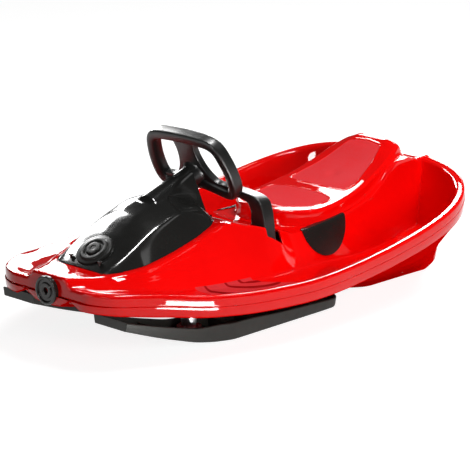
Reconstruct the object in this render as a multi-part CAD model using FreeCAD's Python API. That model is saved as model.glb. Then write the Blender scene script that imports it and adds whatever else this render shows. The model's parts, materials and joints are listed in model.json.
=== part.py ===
import FreeCAD, Part
import math
import os

V = FreeCAD.Vector

# Frame: X forward, Y to the rider's left, Z up, ground at z = 0. Millimetres.

# Lines plan of the hull: its curves are shares of these three sizes.
half_length = 500.0
half_width = 300.0
body_height = 250.0
tail_reach = 512.0
tail_flat = 3.0
nose_reach = 568.0
nose_flat = 69.0
nose_corner = 40.0
nose_fullness_shares = (1.76, 1.955)
tail_fullness_shares = (5.4, 2.7)
station_shares = (-0.985, -0.96, -0.93, -0.89, -0.83, -0.76, -0.68, -0.58, -0.46, -0.34, -0.22, -0.1,
                  0.02, 0.12, 0.22, 0.3, 0.4, 0.5, 0.6, 0.7, 0.78, 0.85, 0.91, 0.945, 0.97, 0.987)

# Hull shells
wall = 4.0
rim_width = 18.0
rim_round = 3.0
parting_depth = 21.0
parting_gap = 0.3
band_lean = 4.0
floor_fall = 2.0
well_clearance = 11.0
well_run = 14.0
rim_width_share = 0.2
well_side_share = 0.35
ledge_limit_share = 0.45
floor_limit_share = 0.55
chine_limit_share = 0.6
keel_limit_share = 0.4
keel_trim = 0.4
seat_gap = 0.3
overrun = 6.0

sheer_shares = ((-1.024, 0.936), (-0.82, 0.792), (-0.612, 0.694), (-0.408, 0.618), (-0.204, 0.56), (0, 0.52),
                (0.204, 0.5), (0.408, 0.504), (0.612, 0.528), (0.8, 0.58), (0.9, 0.595), (1.01, 0.6))
band_shares = ((-1.024, 0.168), (0.5, 0.168), (0.8, 0.17), (1.01, 0.148))
bilge_drop_shares = ((-1.024, 0.016), (0.55, 0.016), (0.72, 0), (0.85, -0.05), (1.01, -0.05))
ledge_height_shares = ((-1.024, 0.928), (-0.98, 0.916), (-0.94, 0.932), (-0.87, 0.972), (-0.8, 0.96),
                       (-0.76, 0.932), (-0.68, 0.82), (-0.58, 0.732), (-0.48, 0.692), (-0.34, 0.656),
                       (-0.2, 0.636), (-0.11, 0.64), (-0.04, 0.684), (0.04, 0.736), (0.12, 0.788),
                       (0.18, 0.82), (0.254, 0.86), (0.326, 0.832), (0.434, 0.78), (0.56, 0.724),
                       (0.68, 0.684), (0.774, 0.66), (0.85, 0.648), (0.92, 0.656), (1.01, 0.672))
ledge_width_shares = ((-1.024, 0.3), (-0.96, 0.28), (-0.87, 0.3), (-0.76, 0.325), (-0.68, 0.342), (-0.58, 0.358),
                      (-0.34, 0.385), (-0.2, 0.39), (0, 0.39), (0.08, 0.377), (0.26, 0.34), (0.34, 0.353),
                      (0.44, 0.377), (0.68, 0.373), (0.774, 0.327), (0.85, 0.26), (0.92, 0.207), (1.01, 0.133))
floor_width_shares = ((-1.024, 0.433), (-0.96, 0.373), (-0.88, 0.373), (-0.7, 0.413), (-0.48, 0.453),
                      (-0.12, 0.5), (0.04, 0.533), (0.2, 0.55), (0.34, 0.55), (0.64, 0.517), (0.76, 0.45),
                      (0.86, 0.367), (0.94, 0.283), (1.01, 0.183))
floor_height_shares = ((-1.024, 0.928), (-0.99, 0.88), (-0.95, 0.66), (-0.9, 0.46), (-0.82, 0.38), (-0.7, 0.345),
                       (-0.5, 0.33), (-0.2, 0.36), (0.12, 0.4), (0.3, 0.424), (0.5, 0.46), (0.64, 0.5),
                       (0.76, 0.535), (0.86, 0.56), (0.94, 0.57), (1.01, 0.575))
well_side_shares = ((-1.024, 0.2), (-0.3, 0.2), (0, 0.15), (0.3, 0.12), (1.01, 0.11))
chine_width_shares = ((-1.024, 0.3), (-0.93, 0.62), (-0.85, 0.65), (-0.2, 0.65), (0.1, 0.6), (0.5, 0.58),
                      (0.8, 0.35), (1.01, 0.1))
chine_height_shares = ((-1.024, 0.74), (-0.97, 0.66), (-0.93, 0.48), (-0.9, 0.31), (-0.87, 0.23), (-0.8, 0.18),
                       (-0.6, 0.164), (-0.47, 0.164), (-0.27, 0.2), (-0.1, 0.26), (0.1, 0.285), (0.5, 0.3),
                       (0.7, 0.345), (0.8, 0.39), (0.9, 0.425), (1.01, 0.445))
keel_width_shares = ((-1.024, 0.2), (-0.85, 0.4), (-0.3, 0.4), (0.1, 0.3), (1.01, 0.05))
keel_height_shares = ((-1.024, 0.73), (-0.97, 0.64), (-0.93, 0.45), (-0.9, 0.22), (-0.87, 0.07), (-0.84, 0),
                      (-0.58, 0), (-0.46, 0.03), (-0.36, 0.09), (-0.28, 0.16), (-0.2, 0.21), (-0.1, 0.245),
                      (0.1, 0.27), (0.5, 0.286), (0.7, 0.335), (0.8, 0.38), (0.9, 0.415), (1.01, 0.435))

# Seat cover
seat_wall = 3.5
seat_station_shares = (-0.93, -0.9, -0.87, -0.83, -0.78, -0.7, -0.6, -0.5, -0.4, -0.32, -0.26, -0.21, -0.175, -0.15,
                       -0.136)
seat_crown_shares = ((-0.93, 0.975), (-0.87, 1.1), (-0.8, 1.05), (-0.7, 0.944), (-0.6, 0.868), (-0.5, 0.816),
                     (-0.3, 0.768), (-0.2, 0.772), (-0.136, 0.776))
seat_edge_shares = ((-0.93, 0.96), (-0.87, 1.05), (-0.8, 1.01), (-0.7, 0.93), (-0.6, 0.858), (-0.5, 0.806),
                    (-0.3, 0.756), (-0.2, 0.76), (-0.136, 0.764))
seat_width_shares = ((-0.93, 0.18), (-0.87, 0.225), (-0.8, 0.265), (-0.7, 0.297), (-0.55, 0.33), (-0.4, 0.352),
                     (-0.32, 0.352), (-0.26, 0.338), (-0.21, 0.297), (-0.175, 0.245), (-0.15, 0.19), (-0.136, 0.14))
seat_run_shares = ((-0.93, 0.06), (-0.8, 0.04), (-0.68, 0.025), (-0.5, 0.012), (-0.136, 0.012))
seat_crown_width_share = 0.55
seat_foot_depth = 6.0

# Hood
hood_wall = 3.0
hood_station_shares = (0.254, 0.284, 0.33, 0.39, 0.46, 0.54, 0.62, 0.7, 0.77, 0.81, 0.838)
hood_ridge_shares = ((0.254, 0.9), (0.284, 0.98), (0.33, 1.05), (0.408, 1.066), (0.47, 1.042), (0.566, 0.988),
                     (0.67, 0.872), (0.76, 0.756), (0.838, 0.665))
hood_crest_shares = ((0.254, 0.89), (0.284, 0.93), (0.33, 0.98), (0.43, 0.992), (0.536, 0.936), (0.6, 0.888),
                     (0.68, 0.816), (0.74, 0.756), (0.8, 0.7), (0.838, 0.66))
hood_crest_width_shares = ((0.254, 0.2), (0.284, 0.22), (0.33, 0.233), (0.43, 0.25), (0.68, 0.25), (0.74, 0.24),
                           (0.838, 0.2))
hood_edge_width_shares = ((0.254, 0.273), (0.326, 0.307), (0.434, 0.333), (0.56, 0.337), (0.68, 0.335),
                          (0.72, 0.32), (0.774, 0.283), (0.838, 0.21))
cone_top_radius = 21.0
cone_foot_radius = 30.0
cone_length = 122.0
cone_seat_length = 14.0
hood_cap_x = 380.0
hood_cap_tilt = 33.0
hood_cap_radius = 38.0
hood_cap_height = 9.0
hood_cap_skirt = 5.5
hood_cap_ring_radius = 28.0
hood_cap_dish_radius = 20.0
hood_cap_dish_height = 4.0
hood_cap_boss_radius = 15.0
hood_cap_boss_height = 11.0
hood_screw_x = 404.0
hood_screw_y = 40.0
screw_radius = 2.5
screw_head_radius = 5.0
screw_head_height = 3.0
screw_clearance = 0.2
screw_grip = 10.0

# Steering column, wheel and crank
hub_x = 105.0
hub_z = 295.0
column_angle = 25.0
wheel_depth = 24.0
wheel_reach = 108.0
wheel_top = 90.0
wheel_outline_shares = ((0, 1.0), (0.42, 0.99), (0.76, 0.93), (0.9, 0.72), (0.98, 0.3), (1.0, -0.02), (0.95, -0.3),
                        (0.8, -0.46), (0.55, -0.43), (0.3, -0.37), (0, -0.34))
wheel_hole_shares = ((0.24, 0.76), (0.5, 0.82), (0.74, 0.76), (0.8, 0.5), (0.84, 0.1), (0.78, -0.17), (0.55, -0.15),
                     (0.36, 0.02), (0.24, 0.35))
wheel_edge_round = 5.0
hub_radius = 24.0
hub_neck_radius = 19.0
hub_length = 26.0
hub_gap = 1.5
shaft_radius = 8.0
shaft_fit = 0.05
shaft_length = 212.0
shaft_stub = 4.0
bush_wall = 4.5
bush_flange = 3.0
bush_flange_width = 3.0
lower_bush_length = 16.0
lower_bush_reach = 192.0
bracket_width = 46.0
bracket_wall = 7.0
bracket_foot = 30.0
bracket_screw_inset = 7.0
wheel_screw_radius = 4.0
wheel_screw_head = 8.0
wheel_screw_head_height = 5.0
wheel_screw_grip = 18.0
crank_reach = 82.8
crank_length = 60.0
crank_hub_radius = 14.0
crank_end_radius = 10.0
crank_thickness = 8.0
crank_pin_radius = 5.0
crank_pin_length = 27.0
crank_bolt_radius = 3.0
crank_bolt_head_radius = 5.5
crank_bolt_head_height = 4.0
crank_turn = 25.0

# Steering link, posts and skis
kingpin_x = 255.0
kingpin_y = 128.0
post_radius = 9.0
post_collar_radius = 15.0
post_flange_radius = 24.0
post_flange_height = 5.0
ski_bush_wall = 4.0
ski_bush_flange_radius = 17.0
ski_bush_flange_height = 3.0
ski_bush_gap = 0.3
boss_wall = 7.0
boss_bottom = 62.0
boss_top = 90.0
arm_gap = 0.5
arm_thickness = 8.0
arm_hub_radius = 14.0
arm_pin_x = 170.0
arm_pin_y = 120.0
arm_end_radius = 11.0
arm_pin_radius = 5.0
arm_pin_head_radius = 9.0
arm_pin_head_height = 3.0
post_nut_radius = 14.0
post_nut_height = 8.0
link_thickness = 6.0
link_gap = 0.5
link_half_width = 17.0
link_slot_slack = 7.0
link_slot_fit = 1.0
tab_half_width = 28.0
tab_rise = 20.0
tab_slot_half_height = 14.0
tab_slot_lift = 4.0
tab_slot_fit = 0.8
column_opening_margin = 4.0
column_opening_front = 24.0
column_opening_rear = 30.0
ski_rear = -139.0
ski_front = 462.0
ski_half_width = 42.0
ski_flare = 3.0
ski_tip_rise = 82.0
ski_wall_height = 35.0
ski_wall = 4.0
ski_floor = 5.0
ski_station_shares = (0, 0.015, 0.04, 0.1, 0.3, 0.5, 0.58, 0.66, 0.74, 0.82, 0.9, 1.0)
ski_width_shares = ((0, 0.5), (0.015, 0.82), (0.04, 0.97), (0.1, 1.0), (1.0, 1.0))
ski_sole_shares = ((0, 0.03), (0.04, 0), (0.5, 0), (0.58, 0.06), (0.68, 0.2), (0.77, 0.4), (0.86, 0.62), (1.0, 1.0))
ski_side_shares = ((0, 0.54), (0.3, 0.78), (0.5, 1.0), (0.58, 1.0), (0.68, 0.84), (0.86, 0.66), (1.0, 0.5))
ski_rib_shares = (0.12, 0.25, 0.38, 0.5, 0.82, 0.91)
ski_rib_thickness = 3.0
ski_rib_drop = 8.0
pedestal_radius = 30.0
pedestal_top = 34.0
post_screw_circle = 19.5
post_screw_count = 4
post_screw_radius = 2.0
post_screw_head_radius = 3.2
post_screw_head_height = 2.0
post_screw_grip = 12.0

# Brake bow
bow_rear = 15.0
bow_depth = 30.0
bow_foot_z = 128.0
bow_outer_foot_y = 138.0
bow_outer_bend = (127.0, 215.0)
bow_outer_mid = (118.0, 239.0)
bow_outer_turn = (95.0, 250.0)
bow_top_z = 257.0
bow_inner_foot_y = 92.0
bow_inner_bend = (91.0, 212.0)
bow_inner_mid = (84.0, 231.0)
bow_inner_turn = (66.0, 238.0)
bow_underside_z = 241.0
bow_slot_gap = 0.6
bow_slot_rear = 13.0
brake_x = -137.0
brake_z = 120.0
brake_turn = 12.0
arm_inner_y = 98.0
arm_plate = 10.0
arm_eye_radius = 16.0
arm_front_half_height = 11.0
pivot_radius = 6.0
pivot_fit = 0.05
pivot_head_radius = 11.0
pivot_head_length = 4.0
pivot_head_gap = 0.5
pivot_boss_radius = 12.0
pivot_boss_y = 116.0
pivot_end_y = 127.0
claw_plate = 5.0
claw_tip_x = -247.0
claw_tip_z = 18.0
claw_root_width = 30.0
claw_tip_width = 16.0
claw_tooth_height = 9.0
claw_teeth = 3
claw_slot_margin = 4.0
claw_slot_share = 0.5
claw_bolt_radius = 3.0
claw_bolt_head_radius = 5.0
claw_bolt_head_height = 3.5
claw_bolt_drop = 24.0
claw_bolt_back = 22.0
claw_pad_radius = 12.0
cover_x = -143.0
cover_z = 163.0
cover_radius = 66.0
cover_thickness = 2.0
cover_depth_y = 80.0
cover_start_y = 88.0

# Nose rope guide
guide_z = 137.0
guide_flange_radius = 28.0
guide_rim_depth = 4.0
guide_dish_radius = 22.0
guide_ring_radius = 15.0
guide_ring_lift = 3.0
guide_hub_radius = 13.0
guide_bore = 6.0
guide_hub_length = 26.0
guide_fit = 0.2
guide_nut_radius = 19.0
guide_nut_height = 8.0
guide_seat = 0.3
guide_face_x = tail_reach - tail_flat

# Shell screws
shell_screw_places = ((-330.0, 165.0), (-60.0, 190.0), (205.0, 205.0))
shell_boss_radius = 8.0
shell_boss_drop = 3.5
shell_boss_gap = 0.3


def curve(table, share):
    """Height of a smooth curve that never overshoots the rows of its table."""
    if share <= table[0][0]:
        return table[0][1]
    if share >= table[-1][0]:
        return table[-1][1]
    xs = [row[0] for row in table]
    ys = [row[1] for row in table]
    steps = [b - a for a, b in zip(xs, xs[1:])]
    grades = [(b - a) / step for a, b, step in zip(ys, ys[1:], steps)]
    slopes = [grades[0]]
    for before, after in zip(grades, grades[1:]):
        same_way = before * after > 0
        slopes.append(2 * before * after / (before + after) if same_way else 0)
    slopes.append(grades[-1])
    i = max(k for k in range(len(steps)) if xs[k] <= share)
    t = (share - xs[i]) / steps[i]
    rise = ys[i] * (1 + 2 * t) * (1 - t) ** 2 + ys[i + 1] * t * t * (3 - 2 * t)
    return rise + steps[i] * (slopes[i] * t * (1 - t) ** 2 - slopes[i + 1] * t * t * (1 - t))


def wide(table, x):
    return half_width * curve(table, x / half_length)


def high(table, x):
    return body_height * curve(table, x / half_length)


def plan_width(x):
    """Half width of the rim, from two superellipses and the nose's rounded corners."""
    reach = nose_reach if x > 0 else tail_reach
    long_power, wide_power = nose_fullness_shares if x > 0 else tail_fullness_shares
    width = half_width * max(0, 1 - abs(x / reach) ** long_power) ** (1 / wide_power)
    into = min(max(0, x - nose_reach + nose_flat + nose_corner), nose_corner)
    return width - nose_corner + math.sqrt(nose_corner ** 2 - into ** 2)


def well_outer(x):
    rim = plan_width(x)
    return rim - min(wide(well_side_shares, x), well_side_share * rim)


def deck_half(x):
    """Upper outline of the deck from the saddle ledge out to the parting line."""
    rim = plan_width(x)
    sheer = high(sheer_shares, x)
    ledge = high(ledge_height_shares, x)
    floor = high(floor_height_shares, x)
    return [(min(wide(ledge_width_shares, x), ledge_limit_share * rim), ledge),
            (min(wide(floor_width_shares, x), floor_limit_share * rim), floor),
            (well_outer(x), min(floor + floor_fall, sheer)),
            (rim - min(rim_width, rim_width_share * rim), sheer),
            (rim, sheer - rim_round)]


def parting(x):
    return high(sheer_shares, x) - parting_depth


def deck_close(x):
    """Level below the deck's lowest skin at a station."""
    return min(parting(x), high(floor_height_shares, x) - wall) - overrun


def bottom_half(x):
    """Lower outline of the bottom shell from the parting line in to the keel."""
    rim = plan_width(x)
    sheer = high(sheer_shares, x)
    band_foot = sheer - high(band_shares, x)
    floor = min(high(floor_height_shares, x + step) for step in (-well_run, 0, well_run))
    bilge = min(band_foot - high(bilge_drop_shares, x), floor - well_clearance)
    chine = min(high(chine_height_shares, x), bilge - floor_fall)
    keel = min(high(keel_height_shares, x), chine - floor_fall)
    return [(rim, sheer - parting_depth - parting_gap),
            (rim - min(band_lean, rim_width_share * rim), band_foot),
            (well_outer(x), bilge),
            (min(wide(chine_width_shares, x), chine_limit_share * rim), chine),
            (min(wide(keel_width_shares, x), keel_limit_share * rim), max(0, keel) - keel_trim)]


def seat_half(x):
    """Outline of the seat cover from its crown down to its foot on the ledge."""
    edge = wide(seat_width_shares, x)
    foot = high(ledge_height_shares, x) + seat_gap
    crown = max(high(seat_crown_shares, x), foot + seat_foot_depth)
    return [(seat_crown_width_share * edge, crown),
            (edge, max(high(seat_edge_shares, x), foot + seat_foot_depth / 2)),
            (edge + wide(seat_run_shares, x), foot)]


def hood_half(x):
    """Outline of the hood from near its ridge, over the crest, down to the deck."""
    foot = high(ledge_height_shares, x) + seat_gap
    crest = wide(hood_crest_width_shares, x)
    return [(crest / 3, high(hood_ridge_shares, x)),
            (crest, high(hood_crest_shares, x)),
            (wide(hood_edge_width_shares, x), foot)]


def thinned(half, depth, down):
    """Move an outline inwards by the wall, with mitred corners."""
    moved = []
    last = len(half) - 1
    for i, (y, z) in enumerate(half):
        normals = []
        if i == 0:
            normals.append((0, down))
        if i > 0:
            normals.append(inward(half[i - 1], half[i], down))
        if i < last:
            normals.append(inward(half[i], half[i + 1], down))
        if i == last:
            normals.append(normals[-1])
        (ay, az), (by, bz) = normals[0], normals[-1]
        spread = 1 + ay * by + az * bz
        moved.append((y + depth * (ay + by) / spread, z + depth * (az + bz) / spread))
    return moved


def inward(a, b, down):
    run = math.hypot(b[0] - a[0], b[1] - a[1])
    side = (b[1] - a[1], -(b[0] - a[0]))
    turn = 1 if down < 0 else -1
    return (turn * side[0] / run, turn * side[1] / run)


def settled(outline, x, depth, down):
    """Outline at a station, pulled in where the hull falls away fore or aft of it."""
    near = [outline(x - depth), outline(x), outline(x + depth)]
    lean = min if down < 0 else max
    pairs = zip(*near)
    return [(min(p[0] for p in trio), lean(p[1] for p in trio)) for trio in pairs]


def ring(x, half, close_z):
    """Closed wire of a mirrored half outline, ended at a flat level."""
    if close_z is not None:
        half = half + [(half[-1][0], close_z)]
    right = [V(x, -y, z) for y, z in half]
    left = [V(x, y, z) for y, z in reversed(half)]
    points = right + left
    return Part.makePolygon(points + points[:1])


def hull_stations(inset):
    ends = [-(tail_reach - tail_flat - inset), nose_reach - nose_flat - inset]
    return [ends[0]] + [share * half_length for share in station_shares] + [ends[1]]


def loft(rings):
    """Solid through a row of sections, with its faces turned outwards."""
    body = Part.makeLoft(rings, True, True)
    if body.Volume < 0:
        body.reverse()
    return body


def deck_solid():
    return loft([ring(x, deck_half(x), deck_close(x)) for x in hull_stations(0)])


def deck_hollow():
    rings = []
    for x in hull_stations(wall):
        half = settled(deck_half, x, wall, -1)
        half = thinned(half + [(half[-1][0], deck_close(x))], wall, -1)
        rings.append(ring(x, half[:-1], deck_close(x) - 2 * overrun))
    return loft(rings)


def below_parting():
    """Space under the parting line outside the foot wells, kept free for the bottom shell."""
    stations = hull_stations(0)
    rings = []
    for x in stations:
        inner = min(plan_width(x + step) for step in (-2 * wall, 0, 2 * wall)) - 2 * wall
        outer = plan_width(x) + overrun
        low = deck_close(x) - overrun
        corners = [V(x, inner, parting(x)), V(x, outer, parting(x)), V(x, outer, low), V(x, inner, low)]
        rings.append(Part.makePolygon(corners + corners[:1]))
    side = loft(rings)
    spaces = [side, mirrored(side)]
    for end, inward_way in ((stations[0], 1), (stations[-1], -1)):
        faces = sorted((end - inward_way * overrun, end + inward_way * 2 * wall))
        reach = plan_width(end)
        spaces.append(box(faces[0], faces[1], -reach, reach, 0, parting(end)))
    return spaces


def bottom_solid():
    return loft([ring(x, bottom_half(x), None) for x in hull_stations(0)])


def bottom_hollow():
    rings = []
    for x in hull_stations(wall):
        outline = settled(bottom_half, x, wall, 1)
        half = thinned(list(reversed(outline)), wall, 1)
        rings.append(ring(x, half[:-1], half[-1][1] + overrun))
    return loft(rings)


def seat_solid(depth):
    rings = []
    ends = (seat_station_shares[0] * half_length + depth, seat_station_shares[-1] * half_length - depth)
    stations = [ends[0]] + [share * half_length for share in seat_station_shares[1:-1]] + [ends[1]]
    for x in stations:
        half = seat_half(x)
        if depth:
            half = thinned(settled(seat_half, x, depth, -1), depth, -1)
        rings.append(ring(x, half, half[-1][1] - overrun if depth else None))
    return loft(rings)


def hood_solid(depth):
    rings = []
    ends = (hood_station_shares[0] * half_length + depth, hood_station_shares[-1] * half_length - depth)
    stations = [ends[0]] + [share * half_length for share in hood_station_shares[1:-1]] + [ends[1]]
    for x in stations:
        half = hood_half(x)
        if depth:
            half = thinned(settled(hood_half, x, depth, -1), depth, -1)
        rings.append(ring(x, half, half[-1][1] - overrun if depth else None))
    return loft(rings)


def mirrored(shape):
    return shape.mirror(V(0, 0, 0), V(0, 1, 0))


def moved(shape, x, y, z):
    copy = shape.copy()
    copy.translate(V(x, y, z))
    return copy


def box(x0, x1, y0, y1, z0, z1):
    return Part.makeBox(x1 - x0, y1 - y0, z1 - z0, V(x0, y0, z0))


def rod(radius, start, way, length):
    return Part.makeCylinder(radius, length, start, way)


def upright(radius, x, y, z0, z1):
    return rod(radius, V(x, y, z0), V(0, 0, 1), z1 - z0)


# Steering column frame: "down" runs from the wheel towards the nose, "rise" lies in the wheel's plane.
tilt = math.radians(column_angle)
down_way = V(math.cos(tilt), 0, -math.sin(tilt))
rise_way = V(math.sin(tilt), 0, math.cos(tilt))
hub = V(hub_x, 0, hub_z)


def along(reach, rise=0):
    return hub + down_way * reach + rise_way * rise


def column_rod(radius, start, end):
    return rod(radius, along(start), down_way, end - start)


def in_wheel_plane(y_share, rise_share, reach):
    return along(reach, rise_share * wheel_top) + V(0, y_share * wheel_reach, 0)


def smooth_face(points):
    spline = Part.BSplineCurve()
    spline.interpolate(points, PeriodicFlag=True)
    return Part.Face(Part.Wire(spline.toShape()))


wheel_front = wheel_depth / 2
wheel_screw_seat = -2 * shaft_stub
hub_end = wheel_front + hub_length - hub_radius / 2
cone_start = hub_end + hub_gap


def steering_wheel():
    """Rounded wheel with two hand holes and a flared hub that takes the shaft."""
    right = [in_wheel_plane(y, s, -wheel_front) for y, s in wheel_outline_shares]
    left = [V(p.x, -p.y, p.z) for p in reversed(right[1:-1])]
    body = smooth_face(right + left).extrude(down_way * wheel_depth)
    rims = [e for e in body.Edges if len(e.Vertexes) < 2 or e.isClosed()]
    body = body.makeFillet(wheel_edge_round, rims)
    hole = smooth_face([in_wheel_plane(y, s, -wheel_front - overrun) for y, s in wheel_hole_shares])
    hole = hole.extrude(down_way * (wheel_depth + 2 * overrun))
    body = body.cut(hole).cut(mirrored(hole))
    neck = Part.makeCone(hub_radius, hub_neck_radius, hub_end, along(0), down_way)
    body = body.fuse(neck).removeSplitter()
    body = body.cut(column_rod(shaft_radius + shaft_fit, -shaft_stub, hub_end + overrun))
    screw_way = column_rod(wheel_screw_radius + screw_clearance, -wheel_front - overrun, 0)
    recess = column_rod(wheel_screw_head + screw_clearance, -wheel_front - overrun, wheel_screw_seat)
    return body.cut(screw_way).cut(recess)


def wheel_screw():
    """Screw that holds the wheel on the shaft, from the rider's side."""
    head = column_rod(wheel_screw_head, wheel_screw_seat - wheel_screw_head_height, wheel_screw_seat)
    return head.fuse(column_rod(wheel_screw_radius, wheel_screw_seat, wheel_screw_grip)).removeSplitter()


def steering_column():
    shaft = column_rod(shaft_radius, -shaft_stub, shaft_length)
    shaft = shaft.cut(column_rod(wheel_screw_radius, -shaft_stub - overrun, wheel_screw_grip))
    return shaft.cut(crank_bolt_hole())


def bush(start, length):
    """Flanged bush on the column, its flange on the wheel's side."""
    outer = column_rod(shaft_radius + bush_wall, start, start + length)
    flange = column_rod(shaft_radius + bush_wall + bush_flange_width, start, start + bush_flange)
    bore = column_rod(shaft_radius + shaft_fit, start - overrun, start + length + overrun)
    return outer.fuse(flange).removeSplitter().cut(bore)


upper_bush_start = cone_start
upper_bush_length = cone_seat_length + bush_flange


def upper_column_bush():
    return bush(upper_bush_start, upper_bush_length)


def lower_column_bush():
    return bush(lower_bush_reach - bush_flange, lower_bush_length + bush_flange)


def bush_seat(start, end):
    return column_rod(shaft_radius + bush_wall + shaft_fit, start, end)


def column_bracket(deck):
    """Block on the deck that carries the lower bush."""
    start = along(lower_bush_reach)
    end = along(lower_bush_reach + lower_bush_length)
    barrel = column_rod(shaft_radius + bush_wall + bracket_wall, lower_bush_reach,
                        lower_bush_reach + lower_bush_length)
    foot = box(start.x - bracket_foot / 2, end.x + bracket_foot / 2, -bracket_width / 2, bracket_width / 2,
               body_height / 2, high(ledge_height_shares, start.x) + bracket_wall)
    web = box(start.x, end.x, -shaft_radius, shaft_radius, body_height / 2, end.z - shaft_radius)
    block = barrel.fuse(foot).fuse(web).removeSplitter()
    block = block.cut(bush_seat(lower_bush_reach - overrun, lower_bush_reach + lower_bush_length + overrun))
    block = block.cut(moved(deck, 0, 0, seat_gap))
    for x, y in bracket_screw_places():
        block = block.cut(upright(screw_radius + screw_clearance, x, y, 0, hub_z))
    return block


def bracket_screw_places():
    start = along(lower_bush_reach).x
    end = along(lower_bush_reach + lower_bush_length).x
    fore = end + bracket_foot / 2 - bracket_screw_inset
    aft = start - bracket_foot / 2 + bracket_screw_inset
    side = bracket_width / 2 - bracket_screw_inset
    return [(x, y) for x in (aft, fore) for y in (-side, side)]


def bracket_screws():
    seat = high(ledge_height_shares, along(lower_bush_reach).x) + bracket_wall
    screws = [screw_down(x, y, seat, seat - bracket_wall - screw_grip) for x, y in bracket_screw_places()]
    return Part.makeCompound(screws)


def screw_down(x, y, seat, tip):
    head = upright(screw_head_radius, x, y, seat, seat + screw_head_height)
    return head.fuse(upright(screw_radius, x, y, tip, seat)).removeSplitter()


def crank_bolt_hole():
    return rod(crank_bolt_radius, along(crank_reach) - V(0, crank_length, 0), V(0, 1, 0), 2 * crank_length)


def crank_arm():
    """Arm clamped on the column, with a pin that drives the steering link."""
    half = crank_thickness / 2
    barrel = column_rod(crank_hub_radius, crank_reach - half, crank_reach + half)
    end = rod(crank_end_radius, along(crank_reach - half, -crank_length), down_way, crank_thickness)
    plate = Part.makePolygon([along(crank_reach - half) + V(0, crank_hub_radius, 0),
                              along(crank_reach - half, -crank_length) + V(0, crank_end_radius, 0),
                              along(crank_reach - half, -crank_length) - V(0, crank_end_radius, 0),
                              along(crank_reach - half) - V(0, crank_hub_radius, 0),
                              along(crank_reach - half) + V(0, crank_hub_radius, 0)])
    arm = barrel.fuse(end).fuse(Part.Face(plate).extrude(down_way * crank_thickness))
    pin = rod(crank_pin_radius, along(crank_reach, -crank_length), down_way, crank_pin_length)
    arm = arm.fuse(pin).removeSplitter()
    arm = arm.cut(column_rod(shaft_radius, crank_reach - crank_length, crank_reach + crank_length))
    return arm.cut(crank_bolt_hole())


def crank_bolt():
    """Cross bolt that locks the crank arm to the column."""
    centre = along(crank_reach)
    reach = crank_hub_radius
    shank = rod(crank_bolt_radius, centre - V(0, reach, 0), V(0, 1, 0), 2 * reach)
    head = rod(crank_bolt_head_radius, centre + V(0, reach, 0), V(0, 1, 0), crank_bolt_head_height)
    return shank.fuse(head).removeSplitter()


# Heights of the steering stack, worked up from the bush boss in the bottom shell.
bush_top = boss_top + ski_bush_gap
arm_bottom = bush_top + arm_gap
arm_top = arm_bottom + arm_thickness
link_top = arm_bottom - link_gap
link_bottom = link_top - link_thickness
pin_head_top = link_bottom - link_gap
post_top = arm_top + post_nut_height
crank_pin_at_link = along(crank_reach, -crank_length)
tab_slot_z = crank_pin_at_link.z - (arm_pin_x - crank_pin_at_link.x) * math.tan(tilt)


def slot(x, y, half_x, half_y, z0, z1):
    """Upright slot with round ends along X."""
    body = box(x - half_x + half_y, x + half_x - half_y, y - half_y, y + half_y, z0, z1)
    for end in (x - half_x + half_y, x + half_x - half_y):
        body = body.fuse(upright(half_y, end, y, z0, z1))
    return body.removeSplitter()


def steering_link():
    """Cross bar between the two steering arms, with an upright tab for the crank pin."""
    ends = [upright(link_half_width, arm_pin_x, y, link_bottom, link_top) for y in (-arm_pin_y, arm_pin_y)]
    bar = box(arm_pin_x - link_half_width, arm_pin_x + link_half_width, -arm_pin_y, arm_pin_y, link_bottom, link_top)
    tab_top = tab_slot_z + tab_rise
    tab = box(arm_pin_x - link_thickness / 2, arm_pin_x + link_thickness / 2, -tab_half_width, tab_half_width,
              link_bottom, tab_top)
    bar = bar.fuse(ends[0]).fuse(ends[1]).fuse(tab).removeSplitter()
    for y in (-arm_pin_y, arm_pin_y):
        bar = bar.cut(slot(arm_pin_x, y, arm_pin_radius + link_slot_slack, arm_pin_radius + link_slot_fit,
                           link_bottom - overrun, link_top + overrun))
    half = crank_pin_radius + tab_slot_fit
    middle = tab_slot_z + tab_slot_lift
    window = box(arm_pin_x - link_thickness, arm_pin_x + link_thickness, -half, half,
                 middle - tab_slot_half_height, middle + tab_slot_half_height)
    return bar.cut(window)


def steering_arm():
    """Arm keyed on a ski post, reaching back to the steering link."""
    barrel = upright(arm_hub_radius, kingpin_x, kingpin_y, arm_bottom, arm_top)
    end = upright(arm_end_radius, arm_pin_x, arm_pin_y, arm_bottom, arm_top)
    plate = Part.makePolygon([V(kingpin_x, kingpin_y + arm_hub_radius, arm_bottom),
                              V(arm_pin_x, arm_pin_y + arm_end_radius, arm_bottom),
                              V(arm_pin_x, arm_pin_y - arm_end_radius, arm_bottom),
                              V(kingpin_x, kingpin_y - arm_hub_radius, arm_bottom),
                              V(kingpin_x, kingpin_y + arm_hub_radius, arm_bottom)])
    arm = barrel.fuse(end).fuse(Part.Face(plate).extrude(V(0, 0, arm_thickness))).removeSplitter()
    arm = arm.cut(upright(post_radius + shaft_fit, kingpin_x, kingpin_y, 0, hub_z))
    return arm.cut(upright(arm_pin_radius, arm_pin_x, arm_pin_y, 0, hub_z))


def arm_pin():
    """Headed pin through a steering arm's end; its head carries the link."""
    shank = upright(arm_pin_radius, arm_pin_x, arm_pin_y, pin_head_top, arm_top)
    head = upright(arm_pin_head_radius, arm_pin_x, arm_pin_y, pin_head_top - arm_pin_head_height, pin_head_top)
    return shank.fuse(head).removeSplitter()


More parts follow.
